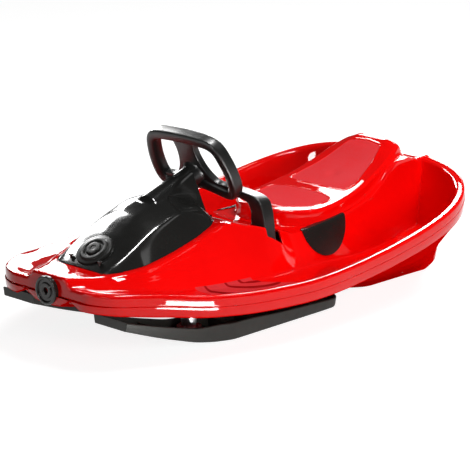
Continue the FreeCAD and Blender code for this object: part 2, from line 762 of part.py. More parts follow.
def ski_bush():
    """Flanged bush in the bottom shell's boss for a ski post."""
    outer = post_radius + shaft_fit + ski_bush_wall
    sleeve = upright(outer, kingpin_x, kingpin_y, boss_bottom - ski_bush_flange_height, bush_top)
    flange = upright(ski_bush_flange_radius, kingpin_x, kingpin_y, boss_bottom - ski_bush_flange_height, boss_bottom)
    return sleeve.fuse(flange).removeSplitter().cut(upright(post_radius + shaft_fit, kingpin_x, kingpin_y, 0, hub_z))


def post_nut():
    """Nut on top of a ski post."""
    corners = [V(kingpin_x + post_nut_radius * math.cos(k * math.pi / 3),
                 kingpin_y + post_nut_radius * math.sin(k * math.pi / 3), arm_top) for k in range(7)]
    nut = Part.Face(Part.makePolygon(corners)).extrude(V(0, 0, post_nut_height))
    return nut.cut(upright(post_radius, kingpin_x, kingpin_y, 0, hub_z))


def ski_post():
    """Kingpin: flange on the ski, collar under the bush, shaft up to the steering arm."""
    flange = upright(post_flange_radius, kingpin_x, kingpin_y, pedestal_top, pedestal_top + post_flange_height)
    collar_top = boss_bottom - ski_bush_flange_height - ski_bush_gap
    collar = upright(post_collar_radius, kingpin_x, kingpin_y, pedestal_top, collar_top)
    shaft = upright(post_radius, kingpin_x, kingpin_y, pedestal_top, post_top)
    post = flange.fuse(collar).fuse(shaft).removeSplitter()
    for x, y in post_screw_places():
        post = post.cut(upright(post_screw_radius, x, y, 0, hub_z))
    return post


def post_screw_places():
    turns = [math.pi / 4 + 2 * math.pi * k / post_screw_count for k in range(post_screw_count)]
    return [(kingpin_x + post_screw_circle * math.cos(t), kingpin_y + post_screw_circle * math.sin(t)) for t in turns]


def post_screws():
    seat = pedestal_top + post_flange_height
    screws = []
    for x, y in post_screw_places():
        head = upright(post_screw_head_radius, x, y, seat, seat + post_screw_head_height)
        screws.append(head.fuse(upright(post_screw_radius, x, y, seat - post_screw_grip, seat)).removeSplitter())
    return Part.makeCompound(screws)


def ski_sole(x):
    return ski_tip_rise * curve(ski_sole_shares, (x - ski_rear) / (ski_front - ski_rear))


def ski_ring(share, depth):
    """Section of a ski: its outside, or its trough when a depth is given."""
    x = ski_rear + share * (ski_front - ski_rear)
    if depth:
        x = min(max(x, ski_rear + depth), ski_front - depth)
        share = (x - ski_rear) / (ski_front - ski_rear)
    sole = ski_sole(x)
    top = sole + ski_wall_height * curve(ski_side_shares, share)
    reach = ski_half_width * curve(ski_width_shares, share) - depth
    low = sole + (ski_floor if depth else 0)
    high_z = top + (overrun if depth else 0)
    corners = [V(x, kingpin_y - reach, low), V(x, kingpin_y + reach, low),
               V(x, kingpin_y + reach + ski_flare, high_z), V(x, kingpin_y - reach - ski_flare, high_z)]
    return Part.makePolygon(corners + corners[:1])


def ski():
    """Open trough with a raised tip, cross ribs and a pedestal for its post."""
    outside = loft([ski_ring(share, 0) for share in ski_station_shares])
    trough = loft([ski_ring(share, ski_wall) for share in ski_station_shares])
    body = outside.cut(trough)
    for share in ski_rib_shares:
        x = ski_rear + share * (ski_front - ski_rear)
        sole = ski_sole(x)
        top = sole + ski_wall_height * curve(ski_side_shares, share) - ski_rib_drop
        rib = box(x - ski_rib_thickness / 2, x + ski_rib_thickness / 2, kingpin_y - half_width,
                  kingpin_y + half_width, sole, top)
        body = body.fuse(rib.common(outside))
    pedestal = upright(pedestal_radius, kingpin_x, kingpin_y, 0, pedestal_top).common(
        outside.fuse(upright(pedestal_radius, kingpin_x, kingpin_y, ski_sole(kingpin_x + pedestal_radius), pedestal_top)))
    body = body.fuse(pedestal).removeSplitter()
    for x, y in post_screw_places():
        seat = pedestal_top + post_flange_height
        body = body.cut(upright(post_screw_radius, x, y, seat - post_screw_grip, seat + overrun))
    return body


def bow_outline():
    """Front outline of the brake bow: two legs joined over the top."""
    def at(pair, side):
        return V(bow_rear, side * pair[0], pair[1])

    edges = []
    for side in (1, -1):
        outer_foot = at((bow_outer_foot_y, bow_foot_z), side)
        inner_foot = at((bow_inner_foot_y, bow_foot_z), side)
        edges.append(Part.LineSegment(outer_foot, at(bow_outer_bend, side)).toShape())
        edges.append(Part.Arc(at(bow_outer_bend, side), at(bow_outer_mid, side), at(bow_outer_turn, side)).toShape())
        edges.append(Part.LineSegment(at(bow_outer_turn, side), at((0, bow_top_z), side)).toShape())
        edges.append(Part.LineSegment(inner_foot, at(bow_inner_bend, side)).toShape())
        edges.append(Part.Arc(at(bow_inner_bend, side), at(bow_inner_mid, side), at(bow_inner_turn, side)).toShape())
        edges.append(Part.LineSegment(at(bow_inner_turn, side), at((0, bow_underside_z), side)).toShape())
        edges.append(Part.LineSegment(outer_foot, inner_foot).toShape())
    return Part.Face(Part.Wire(Part.__sortEdges__(edges)))


def brake_arm():
    """Plate inside the saddle from a bow leg back to the brake pivot."""
    y = arm_inner_y
    foot_middle = bow_foot_z - arm_front_half_height / 2
    front = bow_rear + bow_depth
    points = [V(brake_x, y, brake_z + arm_eye_radius), V(bow_rear, y, foot_middle + arm_front_half_height),
              V(front, y, foot_middle + arm_front_half_height), V(front, y, foot_middle - arm_front_half_height),
              V(brake_x, y, brake_z - arm_eye_radius), V(brake_x, y, brake_z + arm_eye_radius)]
    plate = Part.Face(Part.makePolygon(points)).extrude(V(0, arm_plate, 0))
    eye = rod(arm_eye_radius, V(brake_x, y, brake_z), V(0, 1, 0), arm_plate)
    pad_x, pad_z = claw_bolt_place()
    pad = rod(claw_pad_radius, V(pad_x, y, pad_z), V(0, 1, 0), arm_plate)
    arm = plate.fuse(eye).fuse(pad).removeSplitter()
    arm = arm.cut(rod(pivot_radius + pivot_fit, V(brake_x, 0, brake_z), V(0, 1, 0), half_width))
    return arm.cut(rod(claw_bolt_radius, V(pad_x, 0, pad_z), V(0, 1, 0), half_width))


def claw_bolt_place():
    return brake_x - claw_bolt_back, brake_z - claw_bolt_drop + arm_eye_radius / 2


def brake_bow():
    """Bow that the rider pulls up, one piece with the arms inside the saddle."""
    bow = bow_outline().extrude(V(bow_depth, 0, 0))
    arm = brake_arm()
    return bow.fuse(arm).fuse(mirrored(arm)).removeSplitter()


def brake_claw():
    """Toothed steel plate on a brake arm."""
    y = arm_inner_y + arm_plate
    root = (V(brake_x, y, brake_z + claw_root_width / 2), V(brake_x, y, brake_z - claw_root_width / 2))
    tip_back = V(claw_tip_x - claw_tip_width, y, claw_tip_z + claw_tooth_height)
    points = [root[0], V(brake_x - claw_root_width, y, brake_z + claw_root_width / 4), tip_back]
    pitch = 2 * claw_tip_width / claw_teeth
    for k in range(claw_teeth):
        x = tip_back.x + k * pitch
        points.append(V(x + pitch / 2, y, claw_tip_z))
        points.append(V(x + pitch, y, claw_tip_z + claw_tooth_height))
    points += [root[1], root[0]]
    plate = Part.Face(Part.makePolygon(points)).extrude(V(0, claw_plate, 0))
    eye = rod(claw_root_width / 2, V(brake_x, y, brake_z), V(0, 1, 0), claw_plate)
    plate = plate.fuse(eye).removeSplitter()
    bolt_x, bolt_z = claw_bolt_place()
    plate = plate.cut(rod(pivot_radius + pivot_fit, V(brake_x, 0, brake_z), V(0, 1, 0), half_width))
    return plate.cut(rod(claw_bolt_radius, V(bolt_x, 0, bolt_z), V(0, 1, 0), half_width))


def claw_bolts():
    x, z = claw_bolt_place()
    y = arm_inner_y
    grip = arm_plate + claw_plate
    shank = rod(claw_bolt_radius, V(x, y, z), V(0, 1, 0), grip)
    head = rod(claw_bolt_head_radius, V(x, y + grip, z), V(0, 1, 0), claw_bolt_head_height)
    bolt = shank.fuse(head).removeSplitter()
    return Part.makeCompound([bolt, mirrored(bolt)])


def brake_pin():
    """Pivot pin from a boss on the saddle wall through a brake arm."""
    start = arm_inner_y - pivot_head_gap
    shank = rod(pivot_radius, V(brake_x, start, brake_z), V(0, 1, 0), pivot_end_y - start)
    head = rod(pivot_head_radius, V(brake_x, start - pivot_head_length, brake_z), V(0, 1, 0), pivot_head_length)
    return shank.fuse(head).removeSplitter()


def pivot_boss(deck):
    boss = rod(pivot_boss_radius, V(brake_x, pivot_boss_y, brake_z), V(0, 1, 0), half_width - pivot_boss_y)
    skin = boss.common(deck)
    keep = box(brake_x - cover_radius, brake_x + cover_radius, pivot_boss_y,
               wide(floor_width_shares, brake_x), 0, body_height)
    return skin.common(keep)


def pivot_cover(deck):
    """Half disc that lies on the saddle wall over the brake pivot."""
    disc = rod(cover_radius, V(cover_x, cover_start_y, cover_z), V(0, 1, 0), cover_depth_y)
    skin = disc.common(moved(deck, 0, seat_gap + cover_thickness, 0))
    return skin.cut(moved(deck, 0, seat_gap, 0))


def bow_slots():
    low = bow_foot_z - overrun
    inner_y = min(bow_inner_foot_y, bow_inner_bend[0]) - bow_slot_gap
    leg = box(bow_rear - bow_slot_rear, bow_rear + bow_depth + bow_slot_gap, inner_y,
              bow_outer_foot_y + bow_slot_gap, low, bow_top_z)
    return leg.fuse(mirrored(leg))


def column_opening():
    swing = crank_length * math.sin(math.radians(crank_turn))
    side = tab_half_width + swing + column_opening_margin
    return box(arm_pin_x - column_opening_rear, arm_pin_x + column_opening_front, -side, side,
               body_height / 2, hub_z)


def guide_bore_cut():
    return rod(guide_hub_radius + guide_fit, V(0, 0, guide_z), V(1, 0, 0), guide_face_x).cut(
        rod(guide_hub_radius + overrun, V(0, 0, guide_z), V(1, 0, 0), kingpin_x))


def shell_screw_span(x, y):
    """Lower seat and upper end of the boss for one shell screw."""
    half = list(reversed(bottom_half(x)))
    seat = min(z for _, z in half)
    for (ay, az), (by, bz) in zip(half, half[1:]):
        if ay <= y <= by:
            seat = az + (bz - az) * (y - ay) / (by - ay)
    return seat - shell_boss_drop, high(floor_height_shares, x) - wall - shell_boss_gap


def all_shell_screw_places():
    return [(x, side * y) for x, y in shell_screw_places for side in (1, -1)]


def shell_screws():
    screws = []
    for x, y in all_shell_screw_places():
        seat, top = shell_screw_span(x, abs(y))
        head = upright(screw_head_radius, x, y, seat - screw_head_height, seat)
        shank = upright(screw_radius, x, y, seat, top + shell_boss_gap + wall / 2)
        screws.append(head.fuse(shank).removeSplitter())
    return Part.makeCompound(screws)


def bottom_shell():
    """Lower hull with its keel, bush bosses, screw bosses and brake slots."""
    body = bottom_solid().cut(bottom_hollow())
    bore = post_radius + shaft_fit + ski_bush_wall
    for y in (-kingpin_y, kingpin_y):
        body = body.fuse(upright(bore + boss_wall, kingpin_x, y, boss_bottom, boss_top))
    for x, y in all_shell_screw_places():
        seat, top = shell_screw_span(x, abs(y))
        body = body.fuse(upright(shell_boss_radius, x, y, seat, top))
    for y in (-kingpin_y, kingpin_y):
        body = body.cut(upright(bore, kingpin_x, y, 0, hub_z))
    for x, y in all_shell_screw_places():
        body = body.cut(upright(screw_radius, x, y, 0, hub_z))
    y = arm_inner_y + arm_plate
    slot_front = brake_x + (claw_tip_x - brake_x) * claw_slot_share
    cut = box(claw_tip_x - claw_tip_width - claw_slot_margin, slot_front, y - claw_slot_margin,
              y + claw_plate + claw_slot_margin, -overrun, bow_foot_z - arm_eye_radius)
    ground = box(-tail_reach, nose_reach, -half_width, half_width, -keel_trim - overrun, 0)
    return body.cut(cut).cut(mirrored(cut)).cut(guide_bore_cut()).cut(ground)


def deck_shell(deck):
    """Upper hull: rim, foot wells, saddle walls and the ledges for seat and hood."""
    body = deck.cut(deck_hollow())
    for space in below_parting():
        body = body.cut(space)
    boss = pivot_boss(deck)
    body = body.fuse(boss).fuse(mirrored(boss)).removeSplitter()
    pin = rod(pivot_radius, V(brake_x, -half_width, brake_z), V(0, 1, 0), 2 * half_width)
    pin_zone = box(brake_x - cover_radius, brake_x + cover_radius, -wide(floor_width_shares, brake_x),
                   wide(floor_width_shares, brake_x), 0, body_height)
    body = body.cut(pin.common(pin_zone)).cut(bow_slots()).cut(column_opening()).cut(guide_bore_cut())
    for x, y in all_shell_screw_places():
        body = body.cut(upright(screw_radius, x, y, 0, shell_screw_span(x, abs(y))[1] + shell_boss_gap + wall / 2))
    for x, y in bracket_screw_places():
        body = body.cut(upright(screw_radius, x, y, 0, hub_z))
    for y in (-hood_screw_y, hood_screw_y):
        body = body.cut(upright(screw_radius, hood_screw_x, y, 0, hub_z))
    return body


def seat_cover(deck):
    return seat_solid(0).cut(seat_solid(seat_wall)).cut(moved(deck, 0, 0, seat_gap))


def hood_height(x, y):
    half = [(0, high(hood_ridge_shares, x))] + hood_half(x)
    for (ay, az), (by, bz) in zip(half, half[1:]):
        if ay <= y <= by:
            return az + (bz - az) * (y - ay) / (by - ay)
    return half[-1][1]


def hood_screws():
    seat = hood_height(hood_screw_x, hood_screw_y) + screw_head_height
    tip = high(ledge_height_shares, hood_screw_x) - wall
    return Part.makeCompound([screw_down(hood_screw_x, y, seat, tip) for y in (-hood_screw_y, hood_screw_y)])


def hood(deck):
    """Black bonnet with two crests and a conical cover over the column."""
    cone = Part.makeCone(cone_top_radius, cone_foot_radius, cone_length, along(cone_start), down_way)
    inner = Part.makeCone(cone_top_radius - hood_wall, cone_foot_radius - hood_wall, cone_length - cone_seat_length
                          - bush_flange + overrun, along(cone_start + cone_seat_length + bush_flange), down_way)
    room = box(0, half_length, -half_width, half_width, body_height / 2, hub_z + body_height)
    deck_line = hood_solid(0)
    hollow = hood_solid(hood_wall)
    floor = loft([ring(x, [(half_width, high(ledge_height_shares, x) + seat_gap)], 0)
                  for x in (share * half_length for share in hood_station_shares)])
    body = deck_line.fuse(cone.cut(floor)).cut(hollow).cut(inner).common(room).removeSplitter()
    seat = bush_seat(cone_start - overrun, cone_start + cone_length)
    flange = column_rod(shaft_radius + bush_wall + bush_flange_width + shaft_fit, cone_start - overrun,
                        cone_start + bush_flange)
    body = body.cut(seat).cut(flange).cut(moved(deck, 0, 0, seat_gap))
    head = hood_height(hood_screw_x, hood_screw_y)
    for y in (-hood_screw_y, hood_screw_y):
        body = body.fuse(upright(screw_head_radius, hood_screw_x, y, head - hood_wall, head + screw_head_height))
        body = body.cut(upright(screw_radius + screw_clearance, hood_screw_x, y, 0, hub_z))
    cap_screw = rod(screw_radius + screw_clearance, cap_foot() - cap_way() * body_height, cap_way(), 2 * body_height)
    return body.cut(cap_screw.common(box(hood_cap_x - hood_cap_radius, hood_cap_x + hood_cap_radius, -hood_cap_radius,
                                         hood_cap_radius, body_height / 2, hub_z)))


def cap_way():
    lean = math.radians(hood_cap_tilt)
    return V(math.sin(lean), 0, math.cos(lean))


def cap_foot():
    return V(hood_cap_x, 0, high(hood_ridge_shares, hood_cap_x))


def hood_cap():
    """Round ringed cap on the front of the hood."""
    foot = cap_foot()
    way = cap_way()
    body = rod(hood_cap_radius, foot - way * hood_cap_skirt, way, hood_cap_skirt + hood_cap_dish_height)
    ring_body = rod(hood_cap_ring_radius, foot, way, hood_cap_height)
    boss = rod(hood_cap_boss_radius, foot, way, hood_cap_boss_height)
    dish = rod(hood_cap_dish_radius, foot + way * hood_cap_dish_height, way, hood_cap_height)
    body = body.fuse(ring_body).cut(dish).fuse(boss).removeSplitter()
    body = body.cut(rod(screw_radius, foot - way * hood_cap_radius, way, 2 * hood_cap_radius))
    body = body.cut(rod(screw_head_radius, foot + way * hood_cap_dish_height, way, hood_cap_height))
    return body.cut(moved(hood_solid(0), way.x * seat_gap, 0, way.z * seat_gap))


def hood_cap_screw():
    foot = cap_foot() + cap_way() * hood_cap_dish_height
    head = rod(screw_head_radius, foot, cap_way(), screw_head_height)
    shank = rod(screw_radius, foot - cap_way() * (hood_cap_dish_height + screw_grip), cap_way(),
                hood_cap_dish_height + screw_grip)
    return head.fuse(shank).removeSplitter()


def rope_guide():
    """Stepped round guide in the nose, bored through for a tow rope."""
    back = nose_reach - nose_flat + guide_seat
    body = rod(guide_flange_radius, V(back, 0, guide_z), V(1, 0, 0), guide_face_x - back)
    dish = rod(guide_dish_radius, V(guide_face_x - guide_rim_depth, 0, guide_z), V(1, 0, 0), overrun)
    lip = rod(guide_ring_radius, V(back, 0, guide_z), V(1, 0, 0), guide_face_x - guide_rim_depth + guide_ring_lift - back)
    stem = rod(guide_hub_radius, V(back - guide_hub_length, 0, guide_z), V(1, 0, 0), guide_hub_length)
    body = body.cut(dish).fuse(lip).fuse(stem).removeSplitter()
    return body.cut(rod(guide_bore, V(0, 0, guide_z), V(1, 0, 0), 2 * guide_face_x))


def rope_guide_nut():
    """Ring nut that clamps the rope guide from inside the nose."""
    face = nose_reach - nose_flat - wall - guide_seat
    nut = rod(guide_nut_radius, V(face - guide_nut_height, 0, guide_z), V(1, 0, 0), guide_nut_height)
    return nut.cut(rod(guide_hub_radius, V(0, 0, guide_z), V(1, 0, 0), guide_face_x))


def export(name, shape):
    shape.exportStep("parts/" + name + ".step")
    print(name, len(shape.Solids), shape.isValid(), round(shape.Volume))


def main():
    os.makedirs("parts", exist_ok=True)
    deck = deck_solid()
    export("deck_shell", deck_shell(deck))
    export("bottom_shell", bottom_shell())
    export("seat_cover", seat_cover(deck))
    export("hood", hood(deck))
    export("hood_cap", hood_cap())
    export("hood_cap_screw", hood_cap_screw())
    export("hood_screws", hood_screws())
    export("shell_screws", shell_screws())
    export("rope_guide", rope_guide())
    export("rope_guide_nut", rope_guide_nut())
    export("steering_wheel", steering_wheel())
    export("wheel_screw", wheel_screw())
    export("steering_column", steering_column())
    export("upper_column_bush", upper_column_bush())
    export("lower_column_bush", lower_column_bush())
    export("column_bracket", column_bracket(deck))
    export("bracket_screws", bracket_screws())
    export("crank_arm", crank_arm())
    export("crank_bolt", crank_bolt())
    export("steering_link", steering_link())
    pairs = {"ski": ski(), "ski_post": ski_post(), "post_screws": post_screws(), "ski_bush": ski_bush(),
             "steering_arm": steering_arm(), "arm_pin": arm_pin(), "post_nut": post_nut(),
             "brake_claw": brake_claw(), "brake_pin": brake_pin(), "pivot_cover": pivot_cover(deck)}
    for name, shape in pairs.items():
        export(name + "_left", shape)
        export(name + "_right", mirrored(shape))
    export("brake_bow", brake_bow())
    export("claw_bolts", claw_bolts())


main()
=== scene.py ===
"""Looks of a steering sled: smooth shells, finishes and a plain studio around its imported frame."""

import json
import logging
import math
from dataclasses import dataclass, field, replace
from enum import Enum
from typing import Callable, Dict, List, Optional, Sequence, Tuple, Union

import bmesh
import bpy
import numpy as np
from mathutils import Matrix, Vector


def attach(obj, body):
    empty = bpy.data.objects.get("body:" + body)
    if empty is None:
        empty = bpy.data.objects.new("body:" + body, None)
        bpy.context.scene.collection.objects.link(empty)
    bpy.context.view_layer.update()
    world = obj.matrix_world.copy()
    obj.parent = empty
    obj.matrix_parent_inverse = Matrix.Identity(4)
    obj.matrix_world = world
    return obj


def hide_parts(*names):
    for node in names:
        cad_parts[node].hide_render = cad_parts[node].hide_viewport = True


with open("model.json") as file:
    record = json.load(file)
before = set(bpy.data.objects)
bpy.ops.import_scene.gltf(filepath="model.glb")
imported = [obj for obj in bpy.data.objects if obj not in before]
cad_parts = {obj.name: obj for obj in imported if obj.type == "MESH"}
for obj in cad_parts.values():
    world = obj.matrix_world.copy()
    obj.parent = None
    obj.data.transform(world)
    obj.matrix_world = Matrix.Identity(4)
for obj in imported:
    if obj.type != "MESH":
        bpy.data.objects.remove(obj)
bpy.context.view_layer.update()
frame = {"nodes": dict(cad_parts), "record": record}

LOG = logging.getLogger("sled")
Number = Union[int, float]
Pair = Tuple[float, float]
Place = Tuple[float, float, float]
Colour = Tuple[float, float, float, float]
Rows = Sequence[Pair]
Level = Callable[[np.ndarray, np.ndarray], np.ndarray]

SIDES = (("left", 1.0), ("right", -1.0))
WHITE = (1.0, 1.0, 1.0, 1.0)
BLACK = (0.0, 0.0, 0.0, 1.0)
WELD = 1e-6
LEAST_WIDTH = 1e-4
LEAST_SQUARE = 1e-18
CORNER_SHARE = 0.45
BEVEL_ANGLE = 35


class Body(Enum):
    """Bodies of the frame that pieces ride on."""

    HULL = "hull"
    STEERING = "steering"
    LEFT_SKI = "left_ski"
    RIGHT_SKI = "right_ski"
    BRAKE = "brake"


class Slot(Enum):
    """Material slots of the record."""

    RED_SHELL = "red_shell"
    SEAT_RED = "seat_red"
    BLACK_COVER = "black_cover"
    BLACK_GRIP = "black_grip"
    SKI = "ski_plastic"
    BUSH = "bush_plastic"
    STEEL = "steel"


class Glow(Enum):
    """What a lamp is for."""

    FILL = "fill"
    SHINE = "shine"


class Tap:
    """One output socket of a node tree, usable in arithmetic."""

    def __init__(self, bench: "Bench", socket: Optional[bpy.types.NodeSocket]) -> None:
        """Keep the tree and the socket."""
        self.bench = bench
        self.socket = socket

    def _math(self, operation: str, *operands: Union["Tap", Number]) -> "Tap":
        """Add a Math node on some operands."""
        return self.bench.node("ShaderNodeMath", {"operation": operation}, dict(enumerate(operands)))

    def __add__(self, other: Union["Tap", Number]) -> "Tap":
        """Sum."""
        return self._math("ADD", self, other)

    __radd__ = __add__

    def __sub__(self, other: Union["Tap", Number]) -> "Tap":
        """Difference."""
        return self._math("SUBTRACT", self, other)

    def __rsub__(self, other: Number) -> "Tap":
        """Reflected difference."""
        return self._math("SUBTRACT", other, self)

    def __mul__(self, other: Union["Tap", Number]) -> "Tap":
        """Product."""
        return self._math("MULTIPLY", self, other)

    __rmul__ = __mul__

    def __abs__(self) -> "Tap":
        """Absolute value."""
        return self._math("ABSOLUTE", self)

    def root(self) -> "Tap":
        """Square root."""
        return self._math("SQRT", self)

    def larger(self, other: Union["Tap", Number]) -> "Tap":
        """The larger of two values."""
        return self._math("MAXIMUM", self, other)

    def between(self, low: float, high: float) -> "Tap":
        """Value mapped from low..high to 0..1 and held there."""
        values = {"Value": self, "From Min": low, "From Max": high}
        return self.bench.node("ShaderNodeMapRange", {"clamp": True}, values)


class Bench:
    """The node tree of a material or world and the one way to add a node to it."""

    def __init__(self, owner: Union[bpy.types.Material, bpy.types.World]) -> None:
        """Give the owner an empty tree.

        Args:
            owner: the material or world.
        """
        owner.use_nodes = True
        self.tree = owner.node_tree
        self.tree.nodes.clear()

    def node(self, kind: str, settings: Optional[Dict] = None, values: Optional[Dict] = None,
             output: Union[int, str] = 0) -> Tap:
        """Add a node.

        Args:
            kind: the node's type.
            settings: attributes to set first.
            values: numbers, colours or taps for its input sockets, by name or index.
            output: which output to return.
        Returns:
            A tap on that output.
        """
        made = self.tree.nodes.new(kind)
        for name, setting in (settings or {}).items():
            setattr(made, name, setting)
        for key, value in (values or {}).items():
            if isinstance(value, Tap):
                self.tree.links.new(value.socket, made.inputs[key])
            else:
                made.inputs[key].default_value = value
        return Tap(self, made.outputs[output] if made.outputs else None)

    def blend(self, factor: Tap, first: Union[Tap, Colour], second: Union[Tap, Colour]) -> Tap:
        """Mix two colours by a factor."""
        return self.node("ShaderNodeMix", {"data_type": "RGBA"}, {0: factor, 6: first, 7: second}, 2)

    def noise(self, place: Tap, scale: float, detail: float) -> Tap:
        """Cloudy noise from 0 to 1."""
        return self.node("ShaderNodeTexNoise", {}, {"Vector": place, "Scale": scale, "Detail": detail})


def ease(low: float, high: float, value: np.ndarray) -> np.ndarray:
    """Smooth step from 0 at low to 1 at high."""
    t = np.clip((value - low) / (high - low), 0, 1)
    return t * t * (3 - 2 * t)


@dataclass(frozen=True)
class FootRest:
    """Textured rest in each foot well, with low steps that curve round the heel."""

    heel: Pair = (0.108, 0.110)
    rings: Sequence[float] = (0.068, 0.096, 0.143)
    step: float = 0.003
    step_round: float = 0.0012
    # Width and bump depth of the bands of painted shade at the steps' risers.
    line_width: float = 0.0034
    line_depth: float = 0.6
    fade: float = 0.012
    inner_margin: float = 0.004
    outer_margin: float = 0.003
    rear_point: Pair = (0.12, 0.16)
    rear_slant: float = 1.07
    front: float = 0.268

    def depth(self, x: np.ndarray, across: np.ndarray, inner: np.ndarray, outer: np.ndarray) -> np.ndarray:
        """Signed distance into the rest.

        Args:
            x: places along the hull.
            across: distances from its middle.
            inner: half width at the foot of the saddle's flank.
            outer: half width at the foot of the rim's wall.
        Returns:
            Distances, positive inside.
        """
        sides = np.minimum(across - (inner - self.inner_margin), outer - self.outer_margin - across)
        rear = x - self.rear_point[0] + self.rear_slant * (across - self.rear_point[1])
        return np.minimum(sides, np.minimum(rear, self.front - x))

    def rise(self, x: np.ndarray, across: np.ndarray, depth: np.ndarray) -> np.ndarray:
        """Height of the steps.

        Args:
            x: places along the hull.
            across: distances from its middle.
            depth: signed distances into the rest.
        Returns:
            Heights above or below the floor.
        """
        turn = np.hypot(x - self.heel[0], across - self.heel[1])
        passed = sum(ease(ring - self.step_round, ring + self.step_round, turn) for ring in self.rings)
        return ease(0.0, self.fade, depth) * self.step * (len(self.rings) / 2 - passed)

    def lines(self, bench: Bench, place: Tap) -> Tap:
        """Mask of the painted shade along the steps' risers, dark bands that also sink as a bump.

        Args:
            bench: the finish's node tree.
            place: the surface's coordinates.
        Returns:
            1 on a line and 0 away from it.
        """
        along, aside = (bench.node("ShaderNodeSeparateXYZ", {}, {"Vector": place}, axis) for axis in "XY")
        along = along - self.heel[0]
        across = abs(aside) - self.heel[1]
        turn = (along * along + across * across).root()
        # Painted shade: a dark band at each step's riser, where the coarse facets would not show the shade.
        mask: Union[Tap, float] = 0.0
        for ring in self.rings:
            line = 1.0 - abs(turn - ring).between(self.line_width / 2, self.line_width)
            mask = line.larger(mask)
        return mask


FOOT_REST = FootRest()


@dataclass(frozen=True)
class Plastic:
    """A moulded plastic finish with fine grain and an optional textured zone."""

    name: str
    colour: Colour
    shade: Colour
    roughness: float
    roughness_spread: float
    grain_scale: float
    grain_height: float
    coat: float = 0.0
    coat_roughness: float = 0.03
    coat_index: float = 1.5
    specular: float = 0.5
    # Colour of the textured zone; the deck's copy is darkened as painted shade.
    textured_colour: Optional[Colour] = None
    textured_roughness: float = 0.6
    # Colour of the painted shade at the foot rest's step risers.
    step_shade_colour: Optional[Colour] = None
    cloud_noise: Pair = (9.0, 3.0)
    wear_noise: Pair = (60.0, 6.0)
    grain_detail: float = 2.0
    pebble_scale: float = 620.0
    shade_span: Pair = (0.35, 0.75)
    wear_span: Pair = (0.3, 0.8)
    pebble_span: Pair = (0.2, 0.8)
    patch_span: Pair = (0.2, 0.9)
    pebble_gain: float = 2.2
    zone_edge: float = 0.0006
    bump: float = 0.5
    bump_unit: float = 0.001

    def material(self) -> bpy.types.Material:
        """Build the finish.

        Returns:
            A node material.
        """
        made = bpy.data.materials.new(self.name)
        bench = Bench(made)
        place = bench.node("ShaderNodeTexCoord", output="Object")
        cloud = bench.noise(place, *self.cloud_noise)
        wear = bench.noise(place, *self.wear_noise)
        colour = bench.blend(cloud.between(*self.shade_span), self.colour, self.shade)
        rough = self.roughness + (wear.between(*self.wear_span) - 0.5) * self.roughness_spread
        height = bench.noise(place, self.grain_scale, self.grain_detail) * self.grain_height
        coat: Union[Tap, float] = self.coat
        if self.textured_colour is not None:
            zone = bench.node("ShaderNodeAttribute", {"attribute_name": "zone"}, output="Fac")
            zone = zone.between(0.0, self.zone_edge)
            pebble = bench.node("ShaderNodeTexVoronoi", {}, {"Vector": place, "Scale": self.pebble_scale})
            spot = bench.blend(pebble.between(*self.pebble_span), self.textured_colour, self.colour)
            patch = bench.blend(cloud.between(*self.patch_span), self.textured_colour, spot)
            colour = bench.blend(zone, colour, patch)
            rough = rough + (self.textured_roughness - rough) * zone
            height = height + pebble * zone * (self.grain_height * self.pebble_gain)
            # Painted shade: darken the foot rest's step risers and sink them as a bump.
            coat = (1.0 - zone) * self.coat
            if self.step_shade_colour is not None:
                line = FOOT_REST.lines(bench, place) * zone
                colour = bench.blend(line, colour, self.step_shade_colour)
                height = height - line * FOOT_REST.line_depth
        normal = bench.node("ShaderNodeBump", {}, {
            "Height": height, "Strength": self.bump, "Distance": self.bump_unit})
        surface = bench.node("ShaderNodeBsdfPrincipled", {}, {
            "Base Color": colour, "Roughness": rough, "Normal": normal, "Specular IOR Level": self.specular,
            "Coat Weight": coat, "Coat Roughness": self.coat_roughness, "Coat IOR": self.coat_index})
        bench.node("ShaderNodeOutputMaterial", {}, {"Surface": surface})
        return made


@dataclass(frozen=True)
class Metal:
    """Zinc-bright steel with fine brushing."""

    name: str
    colour: Colour
    roughness: float
    roughness_spread: float = 0.2
    stretch: Place = (300.0, 300.0, 30.0)
    brush_noise: Pair = (4.0, 4.0)
    bump: float = 0.15
    bump_unit: float = 0.0005

    def material(self) -> bpy.types.Material:
        """Build the finish.

        Returns:
            A node material.
        """
        made = bpy.data.materials.new(self.name)
        bench = Bench(made)
        place = bench.node("ShaderNodeTexCoord", output="Object")
        stretched = bench.node("ShaderNodeMapping", {}, {"Vector": place, "Scale": self.stretch})
        brush = bench.noise(stretched, *self.brush_noise)
        rough = self.roughness + (brush - 0.5) * self.roughness_spread
        normal = bench.node("ShaderNodeBump", {}, {
            "Height": brush, "Strength": self.bump, "Distance": self.bump_unit})
        surface = bench.node("ShaderNodeBsdfPrincipled", {}, {
            "Base Color": self.colour, "Metallic": 1.0, "Roughness": rough, "Normal": normal})
        bench.node("ShaderNodeOutputMaterial", {}, {"Surface": surface})
        return made


GLOSS_RED = Plastic("gloss_red", (0.86, 0.0012, 0.001, 1), (0.80, 0.001, 0.0008, 1), 0.4, 0.05,
                    420.0, 0.002, coat=1.0, coat_roughness=0.02, coat_index=1.34, specular=0.0,
                    textured_colour=(0.78, 0.062, 0.072, 1))


